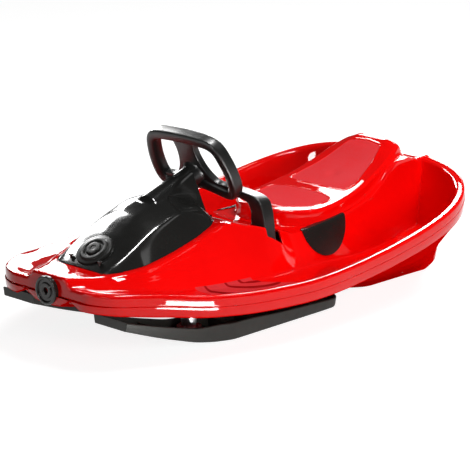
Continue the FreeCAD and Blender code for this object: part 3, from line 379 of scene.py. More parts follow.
class Finish(Enum):
    """Finishes of the sled's pieces."""

    RED = GLOSS_RED
    # Deck finish: the darker textured red on the foot rests is painted shade for the deep wells, and the
    # near-black red at the step risers is painted shade too.
    DECK = replace(GLOSS_RED, name="gloss_red_steps_painted_shade", textured_colour=(0.56, 0.036, 0.042, 1),
                   step_shade_colour=(0.30, 0.004, 0.005, 1))
    KEEL = replace(GLOSS_RED, name="plain_red", roughness=0.6, roughness_spread=0.1, grain_height=0.01,
                   coat=0.0, textured_colour=None)
    HOOD = Plastic("satin_black", (0.013, 0.013, 0.012, 1), (0.010, 0.010, 0.0095, 1), 0.13, 0.04,
                   700.0, 0.004, specular=0.4)
    CAP = Plastic("matt_black", (0.016, 0.016, 0.015, 1), (0.012, 0.012, 0.011, 1), 0.3, 0.06,
                  700.0, 0.01, specular=0.12)
    GRIP = Plastic("pebbled_black", (0.013, 0.013, 0.0125, 1), (0.009, 0.009, 0.009, 1), 0.33, 0.1,
                   900.0, 0.12, specular=0.4)
    COVER = Plastic("plain_black", (0.014, 0.011, 0.010, 1), (0.011, 0.009, 0.008, 1), 0.25, 0.08,
                    800.0, 0.03, specular=0.4)
    SKI = Plastic("ski_black", (0.032, 0.032, 0.028, 1), (0.026, 0.026, 0.023, 1), 0.5, 0.15,
                  500.0, 0.1, specular=0.3)
    BUSH = Plastic("natural_nylon", (0.55, 0.55, 0.52, 1), (0.5, 0.5, 0.47, 1), 0.45, 0.1, 500.0, 0.2)
    STEEL = Metal("bright_steel", (0.62, 0.62, 0.63, 1), 0.32)


class Paint:
    """Makes each finish once."""

    def __init__(self) -> None:
        """Start with no materials."""
        self.made: Dict[Finish, bpy.types.Material] = {}

    def get(self, finish: Finish) -> bpy.types.Material:
        """Material of a finish.

        Args:
            finish: the finish.
        Returns:
            Its one material.
        """
        if finish not in self.made:
            self.made[finish] = finish.value.material()
        return self.made[finish]


PAINT = Paint()


class Curve:
    """Smooth curve through the rows of a table that never overshoots them."""

    def __init__(self, rows: Rows) -> None:
        """Work out the slopes at the rows.

        Args:
            rows: places and values, with rising places.
        """
        table = np.array(rows, float)
        self.xs, self.ys = table[:, 0], table[:, 1]
        grades = np.diff(self.ys) / np.diff(self.xs)
        before, after = grades[:-1], grades[1:]
        same_way = before * after > 0
        total = np.where(same_way, before + after, 1.0)
        inner = np.where(same_way, 2 * before * after / total, 0.0)
        self.slopes = np.concatenate([grades[:1], inner, grades[-1:]])

    def __call__(self, place: np.ndarray) -> np.ndarray:
        """Values of the curve.

        Args:
            place: places, held between the first row and the last.
        Returns:
            One value a place.
        """
        place = np.clip(place, self.xs[0], self.xs[-1])
        i = np.clip(np.searchsorted(self.xs, place, side="right") - 1, 0, len(self.xs) - 2)
        step = self.xs[i + 1] - self.xs[i]
        t = (place - self.xs[i]) / step
        return bent(t, self.ys[i], self.ys[i + 1], step * self.slopes[i], step * self.slopes[i + 1])


def bent(t: np.ndarray, start: np.ndarray, end: np.ndarray, leave: np.ndarray,
         arrive: np.ndarray) -> np.ndarray:
    """Cubic from a start to an end with the slopes at which it leaves and arrives."""
    rise = start * (1 + 2 * t) * (1 - t) ** 2 + end * t * t * (3 - 2 * t)
    return rise + leave * t * (1 - t) ** 2 - arrive * t * t * (1 - t)


def soft_max(a: np.ndarray, b: np.ndarray, width: float) -> np.ndarray:
    """Larger of two heights with a rounded inner corner."""
    return 0.5 * (a + b + np.sqrt((a - b) ** 2 + width ** 2))


def soft_min(a: np.ndarray, b: np.ndarray, width: float) -> np.ndarray:
    """Smaller of two heights with a rounded outer corner."""
    return 0.5 * (a + b - np.sqrt((a - b) ** 2 + width ** 2))


def round_off(reach: np.ndarray, radius: float) -> np.ndarray:
    """Drop of a quarter-round edge at distances in from it."""
    into = np.clip(radius - reach, 0, radius)
    return radius - np.sqrt(radius ** 2 - into ** 2)


def graded(*spans: Tuple[float, float, int]) -> np.ndarray:
    """Places along spans of even steps, each given by its ends and its count."""
    runs = [np.linspace(low, high, count, endpoint=False) for low, high, count in spans]
    return np.concatenate(runs + [np.array([spans[-1][1]])])


def joined_shares(breaks: Sequence[np.ndarray], counts: Sequence[int],
                  last_power: float = 1.0) -> np.ndarray:
    """Shares across a half station that run through given breaks.

    Args:
        breaks: shares of the half width at each break, station by station, from 0 to 1.
        counts: steps between one break and the next.
        last_power: crowding of the last steps; below 1 crowds them towards the edge.
    Returns:
        One row of shares a station.
    """
    spans = []
    for low, high, count in zip(breaks[:-1], breaks[1:], counts):
        power = last_power if high is breaks[-1] else 1.0
        steps = (np.arange(count) / count) ** power
        spans.append(low[:, None] + (high - low)[:, None] * steps[None, :])
    spans.append(breaks[-1][:, None])
    return np.concatenate(spans, 1)


def line_distance(points: np.ndarray, line: np.ndarray) -> np.ndarray:
    """Distance of each plan point from a polyline.

    Args:
        points: plan points, one a row.
        line: the polyline's points, one a row.
    Returns:
        One distance a point.
    """
    best = np.full(len(points), np.inf)
    for a, b in zip(line[:-1], line[1:]):
        run = b - a
        t = np.clip(((points - a) @ run) / max(run @ run, LEAST_SQUARE), 0, 1)
        best = np.minimum(best, np.hypot(*(points - a - t[:, None] * run).T))
    return best


def closed_loop(points: Rows, count: int, fineness: int = 40) -> np.ndarray:
    """Smooth closed curve through points.

    Args:
        points: points in order.
        count: points to return.
        fineness: steps between one point and the next before they are evened out.
    Returns:
        Even points round the curve.
    """
    knots = np.array(points, float)
    size = len(knots)
    step = np.hypot(*(np.roll(knots, -1, 0) - knots).T)
    system = np.zeros((size, size))
    right = np.zeros((size, 2))
    for i in range(size):
        before, after = step[i - 1], step[i]
        system[i, (i - 1) % size] += after
        system[i, i] += 2 * (before + after)
        system[i, (i + 1) % size] += before
        here, last, ahead = knots[i], knots[i - 1], knots[(i + 1) % size]
        right[i] = 3 * (after * (here - last) / before + before * (ahead - here) / after)
    slopes = np.linalg.solve(system, right)
    t = np.linspace(0, 1, fineness, endpoint=False)[:, None]
    runs = []
    for i in range(size):
        j = (i + 1) % size
        runs.append(bent(t, knots[i], knots[j], step[i] * slopes[i], step[i] * slopes[j]))
    fine = np.concatenate(runs)
    turn = np.concatenate([[0], np.cumsum(np.hypot(*(np.roll(fine, -1, 0) - fine).T))])
    even = np.linspace(0, turn[-1], count, endpoint=False)
    whole = np.concatenate([fine, fine[:1]])
    return np.stack([np.interp(even, turn, whole[:, k]) for k in (0, 1)], 1)


def rounded(profile: Rows, radius: float, steps: int = 4) -> List[Pair]:
    """Round every corner of a closed profile.

    Args:
        profile: its corners in order.
        radius: reach of the rounding, held below half of each side.
        steps: facets of a corner.
    Returns:
        The rounded profile.
    """
    made: List[Pair] = []
    count = len(profile)
    for i in range(count):
        before, here, after = (Vector(profile[(i + k) % count]) for k in (-1, 0, 1))
        reach = min(radius, CORNER_SHARE * (before - here).length, CORNER_SHARE * (after - here).length)
        start = here + (before - here).normalized() * reach
        end = here + (after - here).normalized() * reach
        for k in range(steps + 1):
            t = k / steps
            made.append(tuple(start * (1 - t) ** 2 + here * 2 * t * (1 - t) + end * t * t))
    return made


def quads_of(rows: int, columns: int) -> np.ndarray:
    """Faces of a grid of points, row by row."""
    index = np.arange(rows * columns).reshape(rows, columns)
    return np.stack([index[:-1, :-1], index[1:, :-1], index[1:, 1:], index[:-1, 1:]], 2).reshape(-1, 4)


def linked(name: str, data: bpy.types.ID) -> bpy.types.Object:
    """Put an object with some data into the scene.

    Args:
        name: its name.
        data: a mesh, lamp or camera.
    Returns:
        The object.
    """
    made = bpy.data.objects.new(name, data)
    bpy.context.scene.collection.objects.link(made)
    return made


def mesh_piece(name: str, points: Sequence, faces: Sequence[Sequence[int]]) -> bpy.types.Object:
    """Make a piece from points and faces.

    Args:
        name: its name.
        points: its points.
        faces: point numbers of each face.
    Returns:
        The piece.
    """
    mesh = bpy.data.meshes.new(name)
    mesh.from_pydata([tuple(point) for point in points], [], [tuple(face) for face in faces])
    mesh.validate()
    return linked(name, mesh)


def from_bmesh(name: str, made: bmesh.types.BMesh) -> bpy.types.Object:
    """Make a piece from a bmesh and free it.

    Args:
        name: the piece's name.
        made: the bmesh.
    Returns:
        The piece.
    """
    mesh = bpy.data.meshes.new(name)
    made.to_mesh(mesh)
    made.free()
    return linked(name, mesh)


def block(low: Place, high: Place) -> bpy.types.Object:
    """Solid box used as a cutting tool or a rib.

    Args:
        low: its lowest corner.
        high: its highest corner.
    Returns:
        The box.
    """
    made = bmesh.new()
    bmesh.ops.create_cube(made, size=1.0)
    for vert in made.verts:
        vert.co = Vector([(a + b) / 2 + c * (b - a) for a, b, c in zip(low, high, vert.co)])
    return from_bmesh("block", made)


def plate(name: str, outline: Sequence, push: Vector) -> bpy.types.Object:
    """Flat plate of even thickness.

    Args:
        name: its name.
        outline: the points round one face.
        push: way and distance to the other face.
    Returns:
        The plate.
    """
    made = bmesh.new()
    face = made.faces.new([made.verts.new(point) for point in outline])
    grown = bmesh.ops.extrude_face_region(made, geom=[face])
    for item in grown["geom"]:
        if isinstance(item, bmesh.types.BMVert):
            item.co += push
    bmesh.ops.recalc_face_normals(made, faces=made.faces)
    return from_bmesh(name, made)


def swept(name: str, rings: Sequence[Sequence], closed: bool) -> bpy.types.Object:
    """Skin over rings of points.

    Args:
        name: the piece's name.
        rings: the rings, with as many points each.
        closed: True where the last ring joins the first, False where the ends are capped.
    Returns:
        The piece, welded and facing outwards.
    """
    count = len(rings[0])
    faces: List[Tuple[int, ...]] = []
    for k in range(len(rings) if closed else len(rings) - 1):
        here, after = k * count, (k + 1) % len(rings) * count
        for i in range(count):
            j = (i + 1) % count
            faces.append((here + i, here + j, after + j, after + i))
    if not closed:
        last = (len(rings) - 1) * count
        faces.append(tuple(range(count))[::-1])
        faces.append(tuple(range(last, last + count)))
    piece = mesh_piece(name, [point for ring in rings for point in ring], faces)
    made = bmesh.new()
    made.from_mesh(piece.data)
    bmesh.ops.remove_doubles(made, verts=made.verts, dist=WELD)
    bmesh.ops.recalc_face_normals(made, faces=made.faces)
    made.to_mesh(piece.data)
    made.free()
    return piece


def lathe(name: str, profile: Rows, origin: Vector, way: Vector, steps: int = 72) -> bpy.types.Object:
    """Turn a closed profile about an axis.

    Args:
        name: piece name.
        profile: radius and reach along the axis, in order; it closes on itself.
        origin: point on the axis where reach is zero.
        way: the axis.
        steps: facets round the axis.
    Returns:
        The turned piece.
    """
    way = way.normalized()
    side = way.orthogonal().normalized()
    other = way.cross(side)
    rings = []
    for k in range(steps):
        turn = 2 * math.pi * k / steps
        out = side * math.cos(turn) + other * math.sin(turn)
        rings.append([origin + way * reach + out * radius for radius, reach in profile])
    return swept(name, rings, closed=True)


def settle(piece: bpy.types.Object) -> bpy.types.Object:
    """Apply a piece's modifiers to its mesh.

    Args:
        piece: the piece.
    Returns:
        The same piece.
    """
    depsgraph = bpy.context.evaluated_depsgraph_get()
    mesh = bpy.data.meshes.new_from_object(piece.evaluated_get(depsgraph))
    piece.modifiers.clear()
    piece.data = mesh
    return piece


def smooth(piece: bpy.types.Object, angle: float) -> bpy.types.Object:
    """Shade a piece smooth except over sharp edges.

    Args:
        piece: the piece.
        angle: edges sharper than this, in degrees, stay sharp.
    Returns:
        The same piece.
    """
    mesh = piece.data
    mesh.polygons.foreach_set("use_smooth", [True] * len(mesh.polygons))
    mesh.set_sharp_from_angle(angle=math.radians(angle))
    mesh.update()
    return piece


def thicken(piece: bpy.types.Object, wall: float) -> bpy.types.Object:
    """Give a sheet its wall on the inner side.

    Args:
        piece: the sheet.
        wall: thickness of the wall.
    Returns:
        The same piece.
    """
    made = piece.modifiers.new("wall", "SOLIDIFY")
    made.thickness = wall
    made.offset = -1.0
    return settle(piece)


def cut(piece: bpy.types.Object, tools: Sequence[bpy.types.Object]) -> bpy.types.Object:
    """Cut solid tools out of a piece and remove them.

    Args:
        piece: the piece.
        tools: the tools.
    Returns:
        The same piece.
    """
    for tool in tools:
        made = piece.modifiers.new("cut", "BOOLEAN")
        made.operation = "DIFFERENCE"
        made.solver = "EXACT"
        made.object = tool
        settle(piece)
        bpy.data.objects.remove(tool)
    return piece


def bevelled(piece: bpy.types.Object, width: float, segments: int) -> bpy.types.Object:
    """Round a piece's sharp edges.

    Args:
        piece: the piece.
        width: width of the rounding.
        segments: its facets.
    Returns:
        The same piece.
    """
    made = piece.modifiers.new("round", "BEVEL")
    made.width = width
    made.segments = segments
    made.limit_method = "ANGLE"
    made.angle_limit = math.radians(BEVEL_ANGLE)
    return settle(piece)


def join(pieces: Sequence[bpy.types.Object]) -> bpy.types.Object:
    """Join meshes into the first one.

    Args:
        pieces: the pieces; all but the first are removed.
    Returns:
        The first piece.
    """
    whole = bmesh.new()
    for piece in pieces:
        whole.from_mesh(piece.data)
    first = pieces[0]
    whole.to_mesh(first.data)
    whole.free()
    for piece in pieces[1:]:
        bpy.data.objects.remove(piece)
    return first


def points_of(piece: bpy.types.Object) -> np.ndarray:
    """Points of a piece's mesh.

    Args:
        piece: the piece.
    Returns:
        One point a row.
    """
    flat = np.zeros(len(piece.data.vertices) * 3)
    piece.data.vertices.foreach_get("co", flat)
    return flat.reshape(-1, 3)


def add_zone(piece: bpy.types.Object, depth: np.ndarray) -> None:
    """Store how deep each point lies inside a textured zone."""
    layer = piece.data.attributes.new("zone", "FLOAT", "POINT")
    layer.data.foreach_set("value", depth.astype(np.float32))


def finish_piece(piece: bpy.types.Object, finish: Finish, body: Body, node: str) -> None:
    """Dress a piece, let it ride on its body and stand for its node.

    Args:
        piece: the piece.
        finish: its finish.
        body: the body it rides on.
        node: the frame's node that it replaces.
    """
    piece.data.materials.clear()
    piece.data.materials.append(PAINT.get(finish))
    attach(piece, body.value)
    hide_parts(node)
    LOG.info("piece %s for %s: %d faces", piece.name, node, len(piece.data.polygons))


@dataclass
class Sheet:
    """A skin over a plan outline that mirrors left to right, with skirts round its edge."""

    name: str
    stations: np.ndarray
    half: Callable[[np.ndarray], np.ndarray]
    shares: Callable[[np.ndarray], np.ndarray]
    height: Callable[[np.ndarray, np.ndarray, np.ndarray], np.ndarray]
    skirts: Sequence[Tuple[float, Level]]
    underside: bool = False

    def outline(self) -> np.ndarray:
        """Half of the plan outline, from the tail's middle round to the nose's middle."""
        side = np.stack([self.stations, self.half(self.stations)], 1)
        return np.concatenate([[[side[0, 0], 0.0]], side, [[side[-1, 0], 0.0]]])

    def grid(self) -> np.ndarray:
        """Points of the whole skin.

        Returns:
            Points as rows of stations.
        """
        y = self.half(self.stations)[:, None] * self.shares(self.stations)
        x = np.broadcast_to(self.stations[:, None], y.shape)
        reach = line_distance(np.stack([x.ravel(), y.ravel()], 1), self.outline()).reshape(y.shape)
        left = np.stack([x, y, self.height(x, y, reach)], 2)
        right = left[:, :0:-1] * np.array([1.0, -1.0, 1.0])
        return np.concatenate([right, left], 1)

    def build(self) -> bpy.types.Object:
        """Make the skin and its skirts.

        Returns:
            An open sheet, facing outwards.
        """
        grid = self.grid()
        rows, columns = grid.shape[:2]
        index = np.arange(rows * columns).reshape(rows, columns)
        ring = np.concatenate([index[:-1, -1], index[-1, :0:-1], index[:0:-1, 0], index[0, :-1]])
        points = grid.reshape(-1, 3)
        edge = points[ring]
        ahead = np.roll(edge, -1, 0)[:, :2] - np.roll(edge, 1, 0)[:, :2]
        ahead /= np.linalg.norm(ahead, axis=1)[:, None]
        out = np.stack([-ahead[:, 1], ahead[:, 0]], 1)
        faces = [quads_of(rows, columns)]
        for reach, level in self.skirts:
            plan = edge[:, :2] + out * reach
            fresh = len(points) + np.arange(len(ring))
            faces.append(np.stack([ring, np.roll(ring, -1), np.roll(fresh, -1), fresh], 1))
            rim = np.concatenate([plan, level(plan[:, 0], edge[:, 2])[:, None]], 1)
            points = np.concatenate([points, rim])
            ring = fresh
        quads = np.concatenate(faces)
        if self.underside:
            quads = quads[:, ::-1]
        return mesh_piece(self.name, points, quads.tolist())


@dataclass
class Lines:
    """Lines plan of the hull, in metres, with curves as shares of its three sizes."""

    half_length: float = 0.5
    half_width: float = 0.3
    body_height: float = 0.25
    tail_reach: float = 0.512
    tail_flat: float = 0.003
    nose_reach: float = 0.568
    nose_flat: float = 0.069
    nose_corner: float = 0.040
    nose_fullness: Pair = (1.76, 1.955)
    tail_fullness: Pair = (5.4, 2.7)
    sheer: Curve = Curve((
        (-1.024, 0.936), (-0.82, 0.792), (-0.612, 0.694), (-0.408, 0.618), (-0.204, 0.56), (0, 0.52),
        (0.204, 0.5), (0.408, 0.504), (0.612, 0.528), (0.8, 0.58), (0.9, 0.595), (1.01, 0.6)))
    band: Curve = Curve(((-1.024, 0.168), (0.5, 0.168), (0.8, 0.17), (1.01, 0.148)))
    ledge_height: Curve = Curve((
        (-1.024, 0.932), (-0.98, 0.926), (-0.94, 0.934), (-0.87, 0.972), (-0.8, 0.96), (-0.76, 0.932),
        (-0.68, 0.82), (-0.58, 0.732), (-0.48, 0.692), (-0.34, 0.656), (-0.2, 0.636), (-0.11, 0.64),
        (-0.04, 0.684), (0.04, 0.736), (0.12, 0.788), (0.18, 0.82), (0.254, 0.86), (0.326, 0.832),
        (0.434, 0.78), (0.56, 0.724), (0.68, 0.684), (0.774, 0.66), (0.85, 0.648), (0.92, 0.656),
        (1.01, 0.672)))
    ledge_width: Curve = Curve((
        (-1.024, 0.3), (-0.96, 0.28), (-0.87, 0.3), (-0.76, 0.325), (-0.68, 0.342), (-0.58, 0.358),
        (-0.34, 0.385), (-0.2, 0.39), (-0.08, 0.395), (0.02, 0.435), (0.1, 0.445), (0.18, 0.41),
        (0.27, 0.365), (0.34, 0.36), (0.44, 0.377), (0.68, 0.373), (0.774, 0.327), (0.85, 0.26),
        (0.92, 0.207), (1.01, 0.133)))
    floor_width: Curve = Curve((
        (-1.024, 0.433), (-0.96, 0.373), (-0.88, 0.373), (-0.7, 0.413), (-0.48, 0.453), (-0.12, 0.5),
        (0.04, 0.533), (0.2, 0.55), (0.34, 0.55), (0.64, 0.517), (0.76, 0.45), (0.86, 0.367),
        (0.94, 0.283), (1.01, 0.183)))
    floor_height: Curve = Curve((
        (-1.024, 0.40), (-0.82, 0.38), (-0.7, 0.345), (-0.5, 0.33), (-0.2, 0.36), (0.12, 0.4),
        (0.3, 0.424), (0.5, 0.46), (0.64, 0.5), (0.76, 0.535), (0.86, 0.56), (0.94, 0.57),
        (1.01, 0.575)))
    well_side: Curve = Curve(((-1.024, 0.2), (-0.3, 0.2), (0, 0.15), (0.3, 0.12), (1.01, 0.11)))
    chine_width: Curve = Curve((
        (-1.024, 0.3), (-1.0, 0.42), (-0.98, 0.47), (-0.9, 0.55), (-0.8, 0.62), (-0.2, 0.65),
        (0.1, 0.6), (0.5, 0.58), (0.8, 0.35), (1.01, 0.1)))
    chine_height: Curve = Curve((
        (-1.024, 0.74), (-1.0, 0.56), (-0.99, 0.36), (-0.975, 0.3), (-0.93, 0.26), (-0.87, 0.23),
        (-0.8, 0.18), (-0.6, 0.164), (-0.47, 0.164), (-0.27, 0.2), (-0.1, 0.26), (0.1, 0.285),
        (0.5, 0.3), (0.7, 0.345), (0.8, 0.39), (0.9, 0.425), (1.01, 0.445)))
    keel_width: Curve = Curve((
        (-1.024, 0.25), (-1.0, 0.38), (-0.98, 0.43), (-0.85, 0.42), (-0.3, 0.4), (0.1, 0.3),
        (1.01, 0.05)))
    keel_height: Curve = Curve((
        (-1.024, 0.73), (-1.0, 0.5), (-0.99, 0.2), (-0.975, 0.07), (-0.94, 0.025), (-0.9, 0),
        (-0.58, 0), (-0.46, 0.03), (-0.36, 0.09), (-0.28, 0.16), (-0.2, 0.21), (-0.1, 0.245),
        (0.1, 0.27), (0.5, 0.286), (0.7, 0.335), (0.8, 0.38), (0.9, 0.415), (1.01, 0.435)))
    bilge_drop: Curve = Curve(((-1.024, 0.016), (0.55, 0.016), (0.72, 0), (0.85, -0.05), (1.01, -0.05)))
    chine_limit: float = 0.88
    keel_limit: float = 0.8
    wall_limit: float = 0.35
    tail_rise: Pair = (-0.44, -0.5)
    rim_width: float = 0.018
    rim_round: float = 0.006
    rim_blend: float = 0.004
    parting_depth: float = 0.021
    floor_gap: float = 0.001
    floor_fall: float = 0.002
    fall_run: float = 0.09
    flank_least: float = 0.006
    wall_least: float = 0.014
    step_least: float = 0.002
    ledge_blend: float = 0.004
    well_blend: float = 0.006
    well_clearance: float = 0.011
    band_lean: float = 0.004
    folds_start: Pair = (0.06, 0.14)
    folds_end: Pair = (0.36, 0.44)
    folds: Sequence[Tuple[float, float, float, float]] = (
        (0.0016, 0.10, 0.13, 0.33), (0.0014, 0.42, 0.46, 0.8))
    tail_turn: float = 0.02
    tail_box: float = 0.08
    foot_span: Pair = (0.02, 0.3)
    nose_start: float = 0.44
    nose_turn: float = 0.012

    def wide(self, curve: Curve, x: np.ndarray) -> np.ndarray:
        """Half width from a curve of shares."""
        return self.half_width * curve(x / self.half_length)

    def high(self, curve: Curve, x: np.ndarray) -> np.ndarray:
        """Height from a curve of shares."""
        return self.body_height * curve(x / self.half_length)

    def parting(self, x: np.ndarray) -> np.ndarray:
        """Height of the line where the two shells meet."""
        return self.high(self.sheer, x) - self.parting_depth

    def rim(self, x: np.ndarray) -> np.ndarray:
        """Half width of the rim in plan.

        Args:
            x: places along the hull.
        Returns:
            Half widths.
        """
        front = x > 0
        reach = np.where(front, self.nose_reach, self.tail_reach)
        long_power = np.where(front, self.nose_fullness[0], self.tail_fullness[0])
        wide_power = np.where(front, self.nose_fullness[1], self.tail_fullness[1])
        rest = np.maximum(0, 1 - np.abs(x / reach) ** long_power)
        corner = round_off(self.nose_reach - self.nose_flat - x, self.nose_corner)
        return self.half_width * rest ** (1 / wide_power) - corner

    def stations(self) -> np.ndarray:
        """Places along the hull, closer at its ends and over the foot rests.

        Returns:
            Rising places.
        """
        tail = self.tail_flat - self.tail_reach
        nose = self.nose_reach - self.nose_flat
        turn, box = tail + self.tail_turn, tail + self.tail_box
        rear, front = self.foot_span
        return graded((tail, turn, 16), (turn, box, 24), (box, rear, 86), (rear, front, 176),
                      (front, self.nose_start, 36), (self.nose_start, nose - self.nose_turn, 24),
                      (nose - self.nose_turn, nose, 10))

    def well_outer(self, x: np.ndarray) -> np.ndarray:
        """Half width to the foot of the rim's inner wall."""
        rim = self.rim(x)
        return rim - np.minimum(self.wide(self.well_side, x), self.wall_limit * rim)

    def foot_zone(self, x: np.ndarray, across: np.ndarray) -> np.ndarray:
        """Signed distance into the textured foot rest, in metres."""
        return FOOT_REST.depth(x, across, self.wide(self.floor_width, x), self.well_outer(x))

    def shoulder(self, x: np.ndarray, share: np.ndarray) -> np.ndarray:
        """Stepped folds on the flank below the hood.

        Args:
            x: places along the hull.
            share: shares of the way down the flank.
        Returns:
            Heights to add to the flank.
        """
        along = ease(*self.folds_start, x) * (1 - ease(*self.folds_end, x))
        drop = 0.0
        for depth, start, low, end in self.folds:
            drop = drop + depth * (ease(start, low, share) - ease(low, end, share))
        return -along * drop

    def deck(self, x: np.ndarray, y: np.ndarray, reach: np.ndarray) -> np.ndarray:
        """Height of the deck.

        Args:
            x: places along the hull.
            y: places across it.
            reach: distances in from the rim's edge.
        Returns:
            Heights.
        """
        across = np.abs(y)
        sheer = self.high(self.sheer, x)
        ledge = self.high(self.ledge_height, x)
        floor = np.minimum(self.high(self.floor_height, x), sheer - self.floor_gap)
        ledge_y = self.wide(self.ledge_width, x)
        floor_y = np.maximum(self.wide(self.floor_width, x), ledge_y + self.flank_least)
        share = (across - ledge_y) / (floor_y - ledge_y)
        flank = ledge - (ledge - floor) * share + self.shoulder(x, share)
        saddle = soft_min(ledge + 0 * across, flank, self.ledge_blend)
        floor_line = floor + self.floor_fall * np.clip((across - floor_y) / self.fall_run, 0, 1)
        floor_line = floor_line + FOOT_REST.rise(x, across, self.foot_zone(x, across))
        run = np.maximum(self.wide(self.well_side, x) - self.rim_width, self.wall_least)
        wall = sheer - (sheer - floor) * (reach - self.rim_width) / run
        wall = soft_min(wall, sheer + 0 * reach, self.rim_blend)
        height = soft_max(soft_max(floor_line, saddle, self.well_blend), wall, self.well_blend)
        return height - round_off(reach, self.rim_round)

    def under(self, x: np.ndarray, y: np.ndarray, reach: np.ndarray) -> np.ndarray:
        """Height of the hull's underside.

        Args:
            x: places along the hull.
            y: places across it.
            reach: distances in from the band's foot, which it doesn't need.
        Returns:
            Heights.
        """
        across = np.abs(y)
        rim = self.rim(x)
        foot = self.high(self.sheer, x) - self.high(self.band, x)
        top = foot - self.high(self.bilge_drop, x)
        bilge = np.minimum(top, np.maximum(self.high(self.floor_height, x), 0) - self.well_clearance)
        tail = ease(*self.tail_rise, x)
        bilge = bilge * (1 - tail) + top * tail
        chine = np.minimum(self.high(self.chine_height, x), bilge - self.floor_fall)
        keel = np.maximum(0, np.minimum(self.high(self.keel_height, x), chine - self.floor_fall))
        keel_y = np.minimum(self.wide(self.keel_width, x), self.keel_limit * rim)
        chine_y = np.minimum(self.wide(self.chine_width, x), self.chine_limit * rim)
        widths = (keel_y, chine_y, self.well_outer(x), rim - self.band_lean)
        levels = (keel, chine, bilge, foot)
        faces = [keel]
        for low_y, high_y, low, high in zip(widths, widths[1:], levels, levels[1:]):
            faces.append(low + (high - low) * (across - low_y) / np.maximum(high_y - low_y, self.step_least))
        return np.select([across < width for width in widths[:-1]], faces[:-1], faces[-1])


LINES = Lines()


@dataclass
class Hull:
    """The red upper and lower shells."""

    wall: float = 0.0032
    groove: float = 0.0005
    groove_edge: float = 0.0008
    lip: float = 0.004
    band_foot: Rows = ((0.0018, 0.0008), (0.003, 0.003))
    band_top: Pair = (0.0011, 0.0003)
    lean_limit: float = 0.2
    slot_x: Pair = (0.002, 0.0456)
    slot_y: Pair = (0.0904, 0.1386)
    slot_z: Pair = (0.122, 0.257)
    claw_x: Pair = (-0.267, -0.192)
    claw_y: Pair = (0.104, 0.117)
    claw_z: Pair = (-0.006, 0.112)
    under_lean: float = 0.3
    deck_sharp: float = 40
    bottom_sharp: float = 28
    ledge_limit: float = 0.42
    floor_limit: float = 0.62
    outer_limit: float = 0.9
    inner_limit: float = 0.975
    bilge_limit: float = 0.95
    share_least: float = 0.03
    lip_least: float = 0.01

    def deck_shares(self, x: np.ndarray) -> np.ndarray:
        """Shares across the deck, crowded at its folds.

        Args:
            x: stations along the hull.
        Returns:
            One row of shares a station.
        """
        rim = np.maximum(LINES.rim(x), LEAST_WIDTH)
        ledge = np.minimum(LINES.wide(LINES.ledge_width, x) / rim, self.ledge_limit)
        floor = np.clip(LINES.wide(LINES.floor_width, x) / rim, ledge + self.share_least, self.floor_limit)
        outer = np.clip(LINES.well_outer(x) / rim, floor + self.share_least, self.outer_limit)
        inner = np.clip(1 - LINES.rim_width / rim, outer + self.lip_least, self.inner_limit)
        breaks = [0 * x, ledge, floor, outer, inner, np.ones_like(x)]
        return joined_shares(breaks, [14, 26, 56, 12, 14], 0.75)

    def bottom_half(self, x: np.ndarray) -> np.ndarray:
        """Half width of the underside, inside the leaning band."""
        rim = LINES.rim(x)
        return rim - np.minimum(LINES.band_lean, self.lean_limit * rim)

    def bottom_shares(self, x: np.ndarray) -> np.ndarray:
        """Shares across the underside, through its folds.

        Args:
            x: stations along the hull.
        Returns:
            One row of shares a station.
        """
        rim = np.maximum(self.bottom_half(x), LEAST_WIDTH)
        keel = np.minimum(LINES.wide(LINES.keel_width, x) / rim, LINES.keel_limit)
        chine = np.clip(LINES.wide(LINES.chine_width, x) / rim, keel + self.share_least, LINES.chine_limit)
        outer = np.clip(LINES.well_outer(x) / rim, chine + self.share_least, self.bilge_limit)
        return joined_shares([0 * x, keel, chine, outer, np.ones_like(x)], [8, 12, 12, 12])

    @staticmethod
    def openings(x: Pair, y: Pair, z: Pair) -> List[bpy.types.Object]:
        """Cutting tools for an opening on each side.

        Args:
            x: its ends along the hull.
            y: its ends across the left half.
            z: its lowest and highest place.
        Returns:
            One tool a side.
        """
        tools = []
        for _, side in SIDES:
            right, left = sorted((side * y[0], side * y[1]))
            tools.append(block((x[0], right, z[0]), (x[1], left, z[1])))
        return tools

    def deck(self) -> bpy.types.Object:
        """Upper shell with rim, foot wells and saddle.

        Returns:
            The shell with the bow's slots.
        """
        skirts = [(0.0, lambda x, z: z - self.lip),
                  (0.0, lambda x, z: LINES.parting(x) + self.lip),
                  (0.0, lambda x, z: LINES.parting(x) + self.groove_edge),
                  (-self.groove, lambda x, z: LINES.parting(x))]
        sheet = Sheet("deck_top", LINES.stations(), LINES.rim, self.deck_shares, LINES.deck, skirts)
        piece = cut(thicken(sheet.build(), self.wall), self.openings(self.slot_x, self.slot_y, self.slot_z))
        place = points_of(piece)
        add_zone(piece, LINES.foot_zone(place[:, 0], np.abs(place[:, 1])))
        return smooth(piece, self.deck_sharp)

    def bottom(self) -> bpy.types.Object:
        """Lower shell with half of the rim band and the keel.

        Returns:
            The shell with the claws' openings.
        """
        lean = LINES.band_lean
        low, high = self.band_top
        skirts = [(out, lambda x, z, rise=rise: z + rise) for out, rise in self.band_foot]
        skirts += [(lean, lambda x, z: LINES.parting(x) - low),
                   (lean - self.groove, lambda x, z: LINES.parting(x) - high)]
        sheet = Sheet("hull_bottom", LINES.stations(), self.bottom_half, self.bottom_shares, LINES.under,
                      skirts, underside=True)
        piece = cut(thicken(sheet.build(), self.wall), self.openings(self.claw_x, self.claw_y, self.claw_z))
        return smooth(piece, self.bottom_sharp)

    def dress(self) -> None:
        """Build both shells, with a duller red under the lower one."""
        finish_piece(self.deck(), Finish.DECK, Body.HULL, "deck_shell")
        bottom = self.bottom()
        finish_piece(bottom, Finish.RED, Body.HULL, "bottom_shell")
        bottom.data.materials.append(PAINT.get(Finish.KEEL))
        for face in bottom.data.polygons:
            face.material_index = 1 if face.normal.z < -self.under_lean else 0


